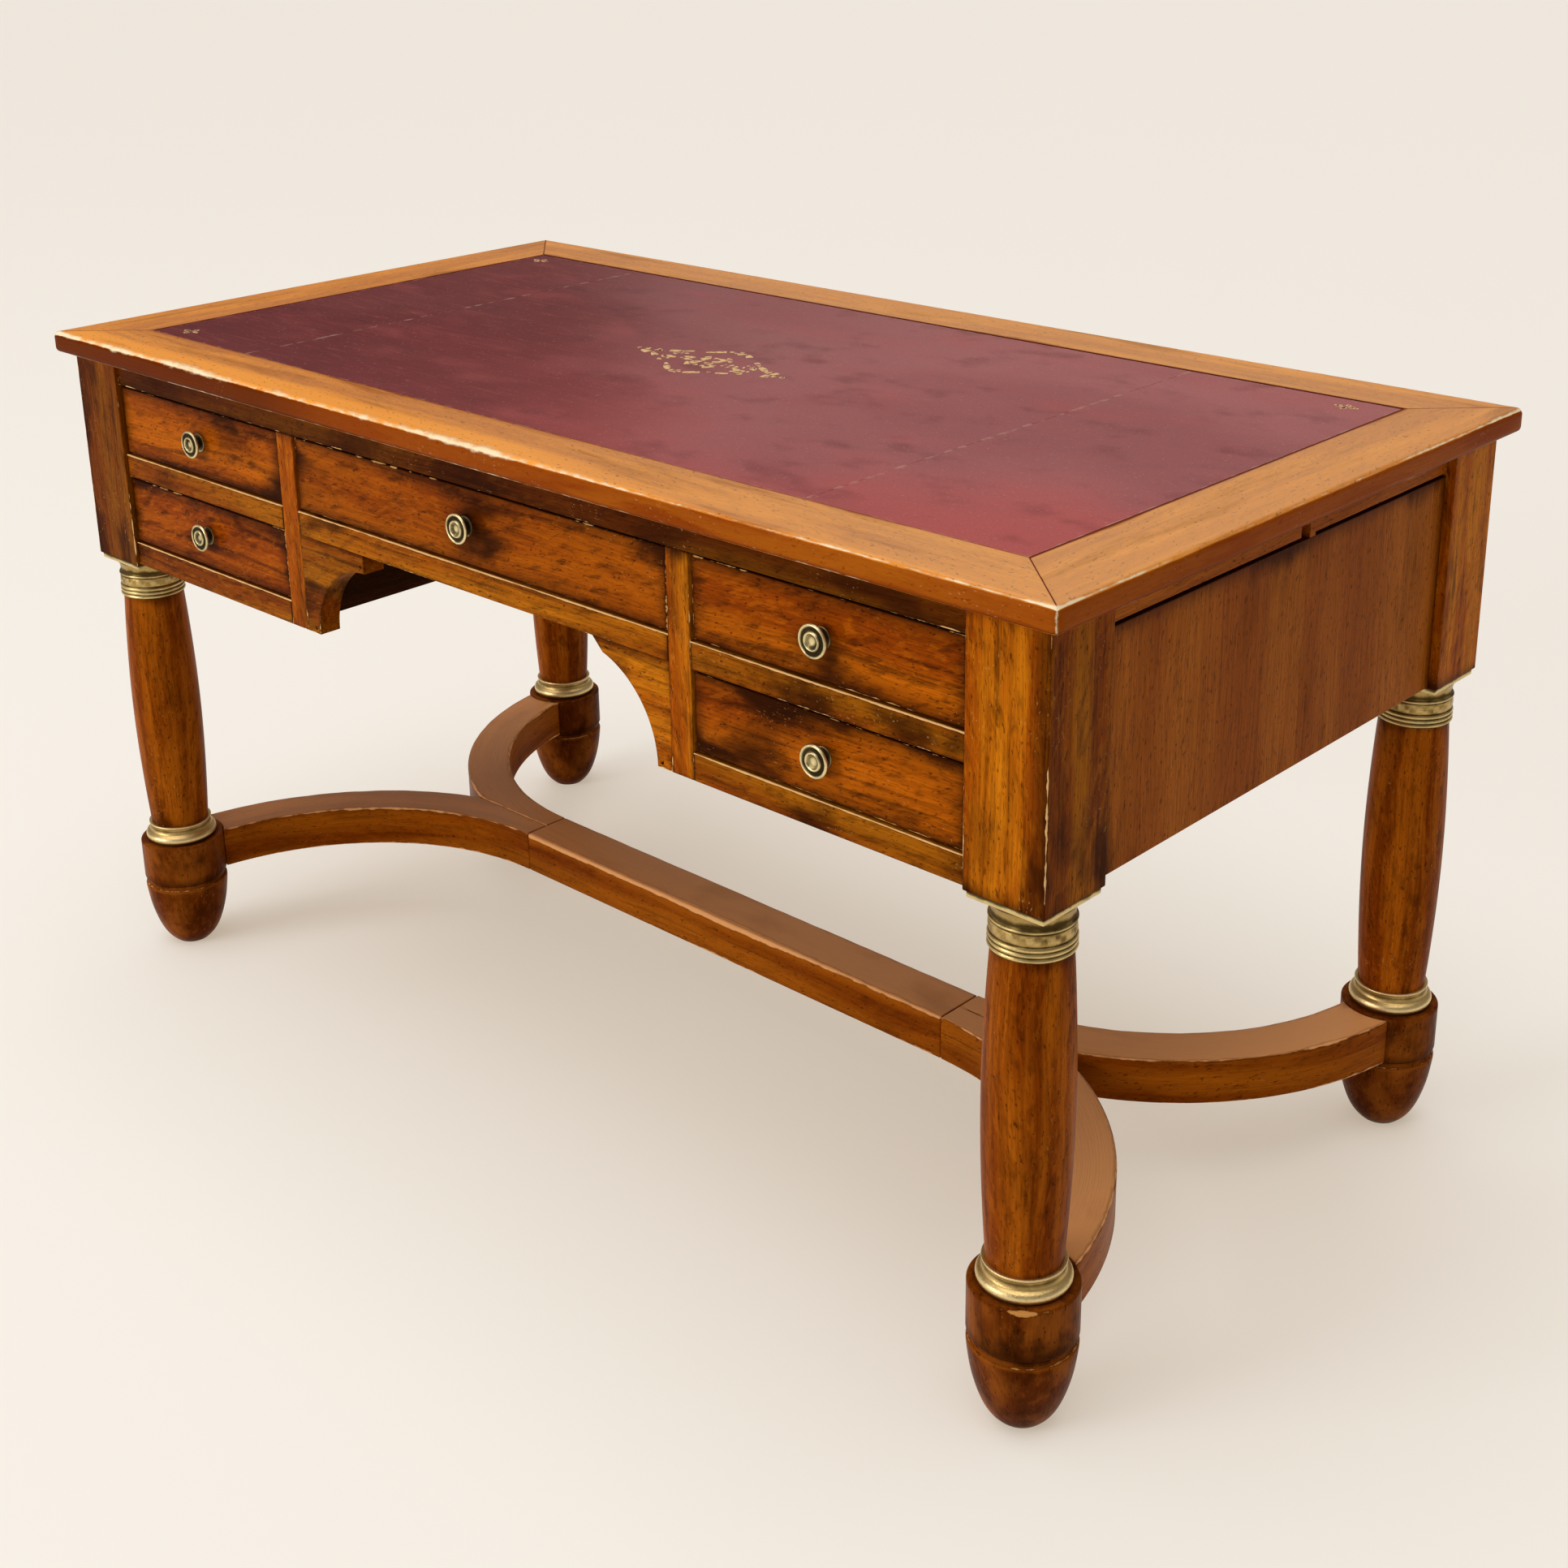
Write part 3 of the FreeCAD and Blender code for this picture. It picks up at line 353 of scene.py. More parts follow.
@dataclass(frozen=True)
class Hide(Finish):
    """Aniline-dyed calf skin, embossed with a fine pebble and rubbed on a table top, under a painted sheen
    that pales its right half and greys its back.

    The dye lies in the skin and not on it, which gives the eye a deep, uneven red with hardly any shine.

    Attributes:
        deep, body, red: colours of the dark blotches, the skin, and the paler red of its streaks and of the
            painted sheen.
        sheen_colour: colour of the grey veil of painted sheen.
        scuff: colour where the dye is rubbed off.
        pebble: size in mm of the embossed grain, which is 0.5 on the real skin and coarser here to show.
        roughness: of the skin.
    """

    deep: str
    body: str
    red: str
    sheen_colour: str
    scuff: str
    pebble: float = 1.7
    roughness: float = 0.46

    def surface(self, node: Node, run: Run) -> Socket:
        """Builds the leather.

        Args:
            node: adds a node to the material's tree.
            run: not read, because leather has no grain that runs one way.

        Returns:
            The shader's socket.
        """
        place = node("TexCoord", out=3)
        mask = masks(node, (
            ("cloud", place, (420, 260, 300), 4.0, 0.36, 0.66),
            ("drag", place, (150, 74, 60), 5.0, 0.50, 0.72), ("blotch", place, (60, 46, 50), 5.0, 0.52, 0.76),
            ("fibre", place, (46, 3.2, 9), 3.0, 0.52, 0.74),
            ("pebble", place, (self.pebble, self.pebble), 2.0, 0.3, 0.7),
            ("ragged", place, (14, 14), 4.0, 0.3, 0.7), ("fleck", place, (3.5, 3.5), 0.0, 0.75, 0.80)))
        along, away = (node("SeparateXYZ", (place,), out=axis) for axis in (0, 1))

        # A painted sheen makes the right half paler and redder.
        slant = node("Math", (away, 0.25, along), operation="MULTIPLY_ADD")
        slant = node("Math", (mask["cloud"], 0.30, slant), operation="MULTIPLY_ADD")
        sheen_rightward = node("MapRange", (slant, -0.30, 0.42), **SOFT)

        # A grey painted sheen lies over the back and thins out to the right.
        sheen_veil = node("Math", (along, 0.8, away), operation="MULTIPLY_ADD")
        over = node("Math", (along, 0.2), operation="SUBTRACT")
        over = node("Math", (over, 0.0), operation="MAXIMUM")
        sheen_veil = node("Math", (over, -1.1, sheen_veil), operation="MULTIPLY_ADD")
        sheen_veil = node("Math", (mask["cloud"], 0.16, sheen_veil), operation="MULTIPLY_ADD")
        sheen_veil = node("MapRange", (sheen_veil, -0.24, 0.14, 0, 0.62), **SOFT)

        arris = node("Attribute", out=2, attribute_name="arris")
        edge = node("Math", (mask["ragged"], 0.30, arris), operation="MULTIPLY_ADD")
        worn = node("MapRange", (edge, 1.02, 1.24, 0, 0.5), **SOFT)
        colour = layered(node, self.body, (
            (sheen_rightward, 1.0, self.red), (sheen_veil, 1.0, self.sheen_colour), (mask["cloud"], 0.26, self.deep),
            (mask["drag"], 0.24, self.red), (mask["fibre"], 0.22, self.red),
            (mask["blotch"], 0.32, self.deep), (mask["pebble"], 0.12, self.deep),
            (mask["fleck"], 0.20, self.scuff), (worn, 1.0, self.scuff)))
        rough = node("MapRange", (mask["cloud"], 0, 1, self.roughness - 0.05, self.roughness + 0.07))
        relief = node("Bump", {"Height": mask["pebble"], "Strength": 0.22, "Distance": 0.0005})
        return node("BsdfPrincipled", {"Base Color": colour, "Roughness": rough, "Normal": relief,
                                       "IOR": 1.48, "Specular IOR Level": 0.18})


@dataclass(frozen=True)
class Brass(Finish):
    """Cast and turned brass: rubbed bright on its ridges, which also carry painted highlights, brown-green in
    its hollows.

    That gives the eye pale gold lines between dull olive ones, so that each reed and roll reads.

    Attributes:
        bright, body, patina: colours of the ridges, rubbed and painted as highlights, the metal and the
            tarnish.
        tarnish: how much of the metal the tarnish covers.
        scratch: length and width in mm of the polishing scratches, drawn wider than they are.
        roughness: of the rubbed metal.
    """

    bright: str
    body: str
    patina: str
    tarnish: float = 0.5
    scratch: tuple[float, float] = (18, 0.9)
    roughness: float = 0.30

    def surface(self, node: Node, run: Run) -> Socket:
        """Builds the brass.

        Args:
            node: adds a node to the material's tree.
            run: not read, because the scratches follow the piece's own grain.

        Returns:
            The shader's socket.
        """
        place = node("TexCoord", out=3)
        grain = node("Attribute", out=1, attribute_name="grain")
        mask = masks(node, (("cloud", place, (16, 16), 4.0, 0.35, 0.68),
                            ("speck", place, (2.2, 2.2), 3.0, 0.55, 0.75),
                            ("scratch", grain, self.scratch, 2.0, 0.40, 0.70)))
        arris, crease = (node("Attribute", out=2, attribute_name=name) for name in ("arris", "crease"))
        hollow = node("Math", (mask["cloud"], self.tarnish, crease), operation="MULTIPLY_ADD")
        hollow = node("MapRange", (hollow, 0.2, 1.1), **SOFT)
        colour = layered(node, self.body, ((arris, 1.0, self.bright), (hollow, 0.95, self.patina),
                                           (mask["speck"], 0.35, self.patina)))
        rough = node("MapRange", (hollow, 0, 1, self.roughness, 0.62))
        rough = node("Math", (mask["scratch"], 0.10, rough), operation="MULTIPLY_ADD")
        relief = node("Bump", {"Height": mask["scratch"], "Strength": 0.25, "Distance": 0.0003})
        return node("BsdfPrincipled", {"Base Color": colour, "Roughness": rough, "Normal": relief,
                                       "Metallic": 1.0})


@dataclass(frozen=True)
class GoldLeaf(Finish):
    """Gold leaf pressed into leather with hot tools, half rubbed away.

    What is left gives the eye a pale, broken line with little of a metal's glint.

    Attributes:
        gold: colour of the leaf.
        ground: colour of the leather where the leaf is gone.
    """

    gold: str
    ground: str

    def surface(self, node: Node, run: Run) -> Socket:
        """Builds the leaf: gold where it holds and the leather's colour where it is gone.

        Args:
            node: adds a node to the material's tree.
            run: not read, because leaf has no grain.

        Returns:
            The shader's socket.
        """
        place = node("TexCoord", out=3)
        spot = node("VectorMath", (place, cells(5, 5)), operation="MULTIPLY")
        cloud = node("TexNoise", {"Vector": spot, "Scale": 1.0, "Detail": 4.0})
        left = node("MapRange", (cloud, 0.40, 0.50))
        colour = layered(node, self.ground, ((left, 1.0, self.gold),))
        metal = node("Math", (left, 0.15), operation="MULTIPLY")
        return node("BsdfPrincipled", {"Base Color": colour, "Roughness": 0.42, "Metallic": metal})


@dataclass(frozen=True)
class StudioPaper(Finish):
    """Matt painted paper sweep, whose shadows are warm from the light that the room throws back.

    It gives the eye an even, warm white without a horizon.

    Attributes:
        near, far: colours of the paper in front of the desk and behind it.
        warm: colour of its glow.
        glow: share of the glow in what the camera and polished things see.
    """

    near: str
    far: str
    warm: str
    glow: float = 0.46

    def surface(self, node: Node, run: Run) -> Socket:
        """Builds the paper, which the camera and polished things see partly by a warm glow.

        Args:
            node: adds a node to the material's tree.
            run: not read, because the paper has no grain.

        Returns:
            The shader's socket.
        """
        depth = node("SeparateXYZ", (node("TexCoord", out=3),), out=1)
        away = node("MapRange", (depth, -1.5, 4.0), **SOFT)
        paper = node("BsdfDiffuse", {"Color": layered(node, self.near, ((away, 1.0, self.far),))})
        light = node("Emission", {"Color": linear(self.warm), "Strength": 1.0})
        camera, glossy, through = (node("LightPath", out=name) for name in (
            "Is Camera Ray", "Is Glossy Ray", "Is Transmission Ray"))
        seen = node("Math", (camera, glossy), operation="MAXIMUM")
        seen = node("Math", (seen, through), operation="MAXIMUM")
        share = node("Math", (seen, self.glow), operation="MULTIPLY")
        return node("MixShader", (share, paper, light))


# Cherry throughout: pale veneer on the border, stained darker on the frame, the fronts and the legs. Pine and
# dark carcass wood are inside.
BORDER = Timber("cherry_border_veneer", "#4e1a00", "#d0751e", "#ff9e22", "#fbe2b8", figure=(300, 30),
                streak=(170, 6), patch=(210, 30), contrast=0.55, flame=0.14, streaks=0.16, smudges=0.40,
                dirt_and_shade=0.9, soil_and_shade="#813000", pores=0.5, rubbed=0.8, feather=0.34, outline=0.25, nicks=0.12,
                dust_and_sheen=0.22, roughness=0.30)
FRAME = Timber("stained_cherry_frame", "#2a0b00", "#ac5003", "#d47a0e", "#e6b474", figure=(420, 30), dirt_and_shade=0.9,
               rubbed=0.5)
FRONT = Timber("stained_cherry_drawer_front", "#240900", "#943e02", "#c06006", "#dca35e", streak=(300, 9),
               flame=0.55, streaks=0.75, smudges=0.6, dirt_and_shade=0.92, rubbed=0.4)
SIDE = Timber("stained_cherry_side", "#341200", "#984a0c", "#ae5e16", "#c98a4c", figure=(900, 70),
              streak=(500, 3), flame=0.12, streaks=0.25, smudges=0.25, dirt_and_shade=0.92, rubbed=0.4, nicks=0.05)
COLUMN = Timber("turned_cherry_column", "#260b00", "#823803", "#b05a0c", "#d8a060", figure=(260, 16),
                streak=(180, 4), streaks=0.4, smudges=0.25, pores=0.8, rubbed=0.7, roughness=0.30)
FOOT = Timber("turned_cherry_foot", "#200900", "#642902", "#944c12", "#c88a48", figure=(60, 40),
              streak=(120, 9), patch=(46, 40), streaks=0.3, smudges=0.5, pores=0.4, rubbed=0.6,
              feather=0.14, roughness=0.28)
STRETCHER = Timber("stained_cherry_stretcher", "#341000", "#8c3e02", "#b05c0c", "#f4ac6c", figure=(500, 30),
                   flame=0.2, streaks=0.4, smudges=0.3, pores=0.7, rubbed=0.5, feather=0.2, nicks=0.1,
                   dust_and_sheen=0.9, roughness=0.30, sheen=0.7, amber="#ffc490")
INNER = Timber("plain_pine_inside", "#6d4522", "#a77744", "#bd8f5a", "#d3ad7c", streaks=0.3, smudges=0.3,
               nicks=0.1, roughness=0.62)
# SHADED is near black; on the kneehole walls it is painted shade.
SHADED = Timber("dark_carcass_stain_and_shade", "#140700", "#2c1305", "#3a1c0a", "#8a5c34", smudges=0.5, nicks=0.1,
                roughness=0.5)
LEATHER = Hide("burgundy_calf_leather", "#48101a", "#702426", "#ba5856", "#a87272", "#cfa090")
CAPITAL_BRASS = Brass("aged_cast_brass", "#dcc488", "#b4965a", "#4a3a1a", tarnish=0.45, roughness=0.36)
RING_BRASS = Brass("rubbed_turned_brass", "#f0d8a0", "#d4b474", "#5c4820", tarnish=0.24, roughness=0.36)
KNOB_BRASS = Brass("dull_turned_brass", "#e8d4a0", "#94804e", "#2a2212", tarnish=0.56, roughness=0.30)
GILDING = GoldLeaf("gold_leaf_on_leather", "#f6cf8c", "#b07c68")
PAPER = StudioPaper("painted_paper_sweep", "#f5fbff", "#f4faff", "#ffecd4")


@dataclass
class Shell:
    """A closed surface in millimetres with the values that its finish reads at each point.

    Attributes:
        points: one row for each point.
        faces: each face's points, by number.
        grain: the wood's own coordinates, first along the grain.
        arris: one on an exposed edge, falling to nothing 12 mm from it, and above one along a painted
            highlight line.
        crease: one in a joint or hollow, falling to nothing away from it, where dirt and painted shade darken
        the piece, and below nothing where polish and a painted sheen make it paler.
    """

    points: np.ndarray
    faces: list[list[int]]
    grain: np.ndarray
    arris: np.ndarray
    crease: np.ndarray

    def __add__(self, other: "Shell") -> "Shell":
        """This shell and another as one, still apart in space."""
        start = len(self.points)
        return Shell(np.vstack((self.points, other.points)),
                     self.faces + [[start + n for n in face] for face in other.faces],
                     np.vstack((self.grain, other.grain)), np.concatenate((self.arris, other.arris)),
                     np.concatenate((self.crease, other.crease)))


def new_piece(name: str, shell: Shell, finish: Finish, slot: str, *nodes: str, body: str = "case") -> None:
    """Makes a shell a piece of the scene, at the origin with its place in its mesh.

    Args:
        name: the piece's name.
        shell: its surface in millimetres.
        finish: its finish.
        slot: not used.
        *nodes: the CAD nodes it stands for.
        body: the CAD body it rides on.
    """
    mesh = bpy.data.meshes.new(name)
    mesh.from_pydata((shell.points / 1000).tolist(), [], shell.faces)
    work = bmesh.new()
    work.from_mesh(mesh)
    bmesh.ops.recalc_face_normals(work, faces=work.faces)
    work.to_mesh(mesh)
    work.free()
    for label, values in (("arris", shell.arris), ("crease", shell.crease)):
        mesh.attributes.new(label, "FLOAT", "POINT").data.foreach_set("value", values.astype(np.float32))
    flat = (shell.grain / 1000).astype(np.float32).ravel()
    mesh.attributes.new("grain", "FLOAT_VECTOR", "POINT").data.foreach_set("vector", flat)
    mesh.shade_smooth()
    mesh.set_sharp_from_angle(angle=math.radians(42))
    mesh.materials.append(finish.material())
    piece = bpy.data.objects.new(name, mesh)
    bpy.context.scene.collection.objects.link(piece)
    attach(piece, body)
    if nodes:
        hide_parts(*nodes)
    LOG.info("%s: %d points for %s", name, len(shell.points), ", ".join(nodes) or "no node")


def dress(material: Material, *nodes: str) -> None:
    """Gives CAD nodes a finish through their own material slots.

    Args:
        material: the finish.
        *nodes: the nodes' names.
    """
    for name in nodes:
        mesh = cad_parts[name].data
        mesh.materials.clear()
        mesh.materials.append(material)
        LOG.info("%s: dressed as %s", name, material.name)


def box_of(node: str) -> tuple[np.ndarray, np.ndarray]:
    """A CAD node's lowest and highest corner in millimetres."""
    low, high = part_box(node)
    return np.array(low) * 1000, np.array(high) * 1000


def measured(node: str, end: int, axis: int) -> float:
    """A dataclass field with one coordinate of a CAD node's lowest (0) or highest (1) corner."""
    return field(default_factory=lambda: round(float(box_of(node)[end][axis]), 3))


def leg_axis() -> np.ndarray:
    """How far a leg's axis stands from the desk's middle along x and y, which is as far as its post's."""
    low, high = box_of("post_rear_right")
    return np.round((low + high)[:2] / 2, 3)


def fall(distance: np.ndarray, reach: float) -> np.ndarray:
    """One at no distance, falling evenly to nothing at the reach."""
    return np.clip(1 - distance / reach, 0, 1)


def cut_from_tree(seed: int) -> np.ndarray:
    """Where in the tree that seed's piece was cut, up to 4 m from its middle, in millimetres."""
    return np.random.default_rng(seed).uniform(-4000, 4000, 3)


def grid_faces(number: np.ndarray) -> np.ndarray:
    """The four-sided faces between points that are numbered in rows and columns."""
    corners = (number[:-1, :-1], number[1:, :-1], number[1:, 1:], number[:-1, 1:])
    return np.stack(corners, axis=-1).reshape(-1, 4)


def tube_faces(rings: int, around: int) -> list[list[int]]:
    """The faces of closed rings of points, each ring joined to the next and both ends capped.

    Args:
        rings: how many rings there are.
        around: points in each ring.

    Returns:
        The faces, the two caps last.
    """
    number = np.arange(rings * around).reshape(rings, around)
    after = np.roll(number, -1, axis=1)
    quads = np.stack((number[:-1], after[:-1], after[1:], number[1:]), axis=-1).reshape(-1, 4)
    return quads.tolist() + [number[0, ::-1].tolist(), number[-1].tolist()]


def stations(length: float, arris: float, step: float) -> np.ndarray:
    """Grid lines over a length, close together at both ends where the arris is.

    Over the arris the lines stand at tangents of even angles, so that the rounding spreads them evenly.

    Args:
        length: the run in millimetres.
        arris: the radius of the rounded edge.
        step: the widest spacing between lines away from the ends.

    Returns:
        The lines' places from nought to length.
    """
    near = arris * (1 - np.tan(np.radians([45, 30, 15, 0])))
    near = np.concatenate((near, arris + np.array([1.2, 3, 6, 12, 24])))
    near = near[near < length * 0.46]
    count = max(2, math.ceil((length - 2 * near[-1]) / step) + 1)
    between = np.linspace(near[-1], length - near[-1], count)
    return np.concatenate((near, between[1:-1], length - near[::-1]))


def block_grid(lines: list[np.ndarray]) -> tuple[np.ndarray, np.ndarray]:
    """The six faces of a block as one closed grid.

    Each face is a flat grid over two of the three sets of lines, turned outwards, and points that faces
    share are merged.

    Args:
        lines: the grid lines along the three axes.

    Returns:
        The points and the four-sided faces.
    """
    points, quads, start = [], [], 0
    for axis in range(3):
        one, two = (axis + 1) % 3, (axis + 2) % 3
        u, v = np.meshgrid(lines[one], lines[two], indexing="ij")
        faces = grid_faces(np.arange(u.size).reshape(u.shape))
        for end, order in ((-1, 1), (0, -1)):
            face = np.empty((u.size, 3))
            face[:, axis], face[:, one], face[:, two] = lines[axis][end], u.ravel(), v.ravel()
            points.append(face)
            quads.append(start + faces[:, ::order])
            start += u.size
    merged, index = np.unique(np.round(np.vstack(points), 5), axis=0, return_inverse=True)
    return merged, index.reshape(-1)[np.vstack(quads)]


def rounded(points: np.ndarray, low: np.ndarray, high: np.ndarray, radius: float) -> np.ndarray:
    """Rounds the edges and corners of a block.

    The part of a point that lies outside the block's core, which is the block less the radius all round, is
    shortened by the ratio of its longest coordinate to its length. That turns the core's square shells into
    round ones.

    Args:
        points: points on or in the block.
        low: the block's lowest corner.
        high: its highest corner.
        radius: the edges' radius.

    Returns:
        The moved points.
    """
    core = np.clip(points, low + radius, high - radius)
    out = points - core
    far = np.linalg.norm(out, axis=1, keepdims=True)
    ratio = np.divide(np.abs(out).max(axis=1, keepdims=True), far, out=np.ones_like(far), where=far > 0)
    return core + out * ratio


def ripple(run: np.ndarray, seed: int, lengths: tuple[float, ...]) -> np.ndarray:
    """An irregular wave between -1 and 1: the mean of sines, each begun at a phase of its own.

    Args:
        run: where along the wave each point stands, in millimetres.
        seed: picks the phases.
        lengths: the sines' lengths in millimetres.

    Returns:
        The wave's height at each point.
    """
    phase = np.random.default_rng(seed).uniform(0, 2 * math.pi, len(lengths))
    return np.sin(run[:, None] * (2 * math.pi / np.array(lengths)) + phase).mean(axis=1)


def board(low: np.ndarray, high: np.ndarray, run: Run, arris: float, seed: int, joints: str = "",
          step: float = 60, reach: float = 34, spare: str = "", rub: float = 1, bright: str = "",
          stain_and_shade: float = 0) -> Shell:
    """A planed board: a block with rounded edges, as a grid over its six faces.

    Args:
        low: its lowest corner in millimetres.
        high: its highest corner.
        run: which way its grain runs.
        arris: the radius of its edges.
        seed: picks its piece of the tree.
        joints: the sides that meet another piece, such as "x- z+", where dirt and painted shade gather.
        step: the widest spacing of the grid.
        reach: how far the dirt and painted shade spread from a joint.
        spare: the axes whose ends have no exposed edge, such as "x".
        rub: how much its edges are rubbed, 1 at most.
        bright: the sides whose front arris carries a painted highlight line along its whole length, such as
            "z+".
        stain_and_shade: how much the whole board is darkened, by old polish and on some boards painted shade,
            0 to 1.

    Returns:
        The board's shell.
    """
    low, high = np.asarray(low, float), np.asarray(high, float)
    flat, quads = block_grid([low[k] + stations(high[k] - low[k], arris, step) for k in range(3)])
    below, above = flat - low, high - flat
    away = {f"{letter}{sign}": gaps[:, k] for sign, gaps in (("-", below), ("+", above))
            for k, letter in enumerate("xyz")}
    gaps = np.minimum(below, above)
    for letter in spare:
        gaps[:, "xyz".index(letter)] = NOWHERE
    wear_and_highlight = fall(np.sort(gaps, axis=1)[:, 1], RUB_REACH) * rub
    # A bright side's front arris gets a continuous pale line: a painted highlight.
    for side in bright.split():
        start, slope = (1.42, 0.36) if side[0] == "z" else (1.04, 0.12)
        wear_and_highlight = np.maximum(wear_and_highlight, start - slope * np.hypot(away[side], away["y-"]))
    # Darkening beside the joints is dirt and painted shade; the whole-board darkening is old polish and, on
    # some boards, painted shade.
    dirt_and_shade = np.minimum.reduce([np.full(len(flat), NOWHERE)] + [away[side] for side in joints.split()])
    crease = np.maximum(np.maximum(fall(dirt_and_shade, reach), np.clip(1.5 - dirt_and_shade / 2.4, 0, 1.5)), stain_and_shade)
    return Shell(rounded(flat, low, high, arris), quads.tolist(), flat[:, run.value] + cut_from_tree(seed),
                 wear_and_highlight, crease)


def turned(profile: np.ndarray, centre: tuple[float, float], seed: int, hollows: np.ndarray,
           ridges: np.ndarray, segments: int = 96) -> Shell:
    """A turned piece: a profile of radius and height carried round an upright axis.

    Args:
        profile: rows of radius and height, from one end to the other.
        centre: the axis's x and y.
        seed: picks its piece of the tree.
        hollows: for each row, how dark it is there, as dirt, tarnish and in places painted shade.
        ridges: for each row, how much it is rubbed, which in places also paints a highlight.
        segments: points round.

    Returns:
        The piece's shell, closed by a flat face at both ends.
    """
    turn = np.linspace(0, 2 * math.pi, segments, endpoint=False)
    radius, height = profile[:, :1], profile[:, 1:]
    points = np.stack((centre[0] + radius * np.cos(turn), centre[1] + radius * np.sin(turn),
                       height + 0 * turn), axis=-1).reshape(-1, 3)
    return Shell(points, tube_faces(len(profile), segments), points[:, Run.Z.value] + cut_from_tree(seed),
                 np.repeat(ridges, segments), np.repeat(hollows, segments))


def smooth_profile(knots: list[tuple[float, float]], steps: int = 8) -> np.ndarray:
    """A flowing profile through knots: a Catmull-Rom curve, whose slope at each knot is its neighbours'.

    Args:
        knots: rows of radius and height.
        steps: points between two knots.

    Returns:
        The profile's rows.
    """
    p = np.array(knots, float)
    p = np.vstack((2 * p[0] - p[1], p, 2 * p[-1] - p[-2]))
    t = np.linspace(0, 1, steps, endpoint=False)[:, None]
    a, b, c, d = (p[k:len(p) - 3 + k, None, :] for k in range(4))
    curve = 0.5 * (2 * b + (c - a) * t + (2 * a - 5 * b + 4 * c - d) * t ** 2
                   + (3 * b - a - 3 * c + d) * t ** 3)
    return np.vstack((curve.reshape(-1, 2), p[-2]))


def arc_profile(centre: tuple[float, float], radius: float, start: float, end: float,
                steps: int) -> np.ndarray:
    """Rows of radius and height on a circular arc, from one angle in degrees to another."""
    angle = np.radians(np.linspace(start, end, steps))
    return np.stack((centre[0] + radius * np.cos(angle), centre[1] + radius * np.sin(angle)), axis=1)


def sawn(outline: np.ndarray, near: float, far: float, arris: float, seed: int, reach: float) -> Shell:
    """A board sawn to an outline, its long edges rounded.

    The outline is carried from front to back in layers. Each layer's points move inwards along the mitred
    normal by an inset: several rings on the front face, then one less the sine of even angles round the
    arris, and nothing from there to the back.

    Args:
        outline: rows of x and height, anticlockwise seen from the front.
        near: y of the front face.
        far: y of the back.
        arris: radius of the front edges.
        seed: picks its piece of the tree.
        reach: how far the darkening spreads down from the top.

    Returns:
        The board's shell.
    """
    ahead = np.roll(outline, -1, axis=0) - outline
    ahead /= np.linalg.norm(ahead, axis=1, keepdims=True)
    inward = np.stack((-ahead[:, 1], ahead[:, 0]), axis=1)
    before = np.roll(inward, 1, axis=0)
    mitre = (inward + before) / (1 + (inward * before).sum(axis=1, keepdims=True))
    turn = np.radians([0, 22.5, 45, 67.5, 90])
    inset = np.concatenate(([8.2, 6, 4, 2.4], arris * (1 - np.sin(turn)), [0, arris * 0.6]))
    depth = np.concatenate(([near] * 4, near + arris * (1 - np.cos(turn)), [far - arris * 0.6, far]))
    flat = outline[None] + mitre[None] * inset[:, None, None]
    points = np.stack((flat[:, :, 0], depth[:, None] + 0 * flat[:, :, 0], flat[:, :, 1]), axis=-1)
    points = points.reshape(-1, 3)
    from_edge = np.repeat(np.hypot(inset, depth - near), len(outline))
    from_top = outline[:, 1].max() - points[:, 2]
    lower = np.clip((from_top - 80) / 20, 0, 1)
    return Shell(points, tube_faces(len(inset), len(outline)), points[:, Run.X.value] + cut_from_tree(seed),
                 fall(from_edge, RUB_REACH) * (0.78 + 0.25 * lower), fall(from_top, reach))


def ribbon(path: np.ndarray, width: np.ndarray, low: float, high: float) -> Shell:
    """A flat closed band along a path.

    Each point of the path gives two, half the width to either side along the path's normal, once at the
    lower and once at the upper height.

    Args:
        path: rows of x and y.
        width: the band's width at each row.
        low: the band's underside.
        high: its upper side.

    Returns:
        The band's shell.
    """
    ahead = np.gradient(path, axis=0)
    ahead /= np.linalg.norm(ahead, axis=1, keepdims=True)
    aside = np.stack((-ahead[:, 1], ahead[:, 0]), axis=1) * width[:, None] / 2
    points = np.stack([np.column_stack((path + side * aside, np.full(len(path), height)))
                       for side, height in ((-1, low), (1, low), (1, high), (-1, high))], axis=1)
    points = points.reshape(-1, 3)
    plain = np.zeros(len(points))
    return Shell(points, tube_faces(len(path), 4), points.copy(), plain, plain)


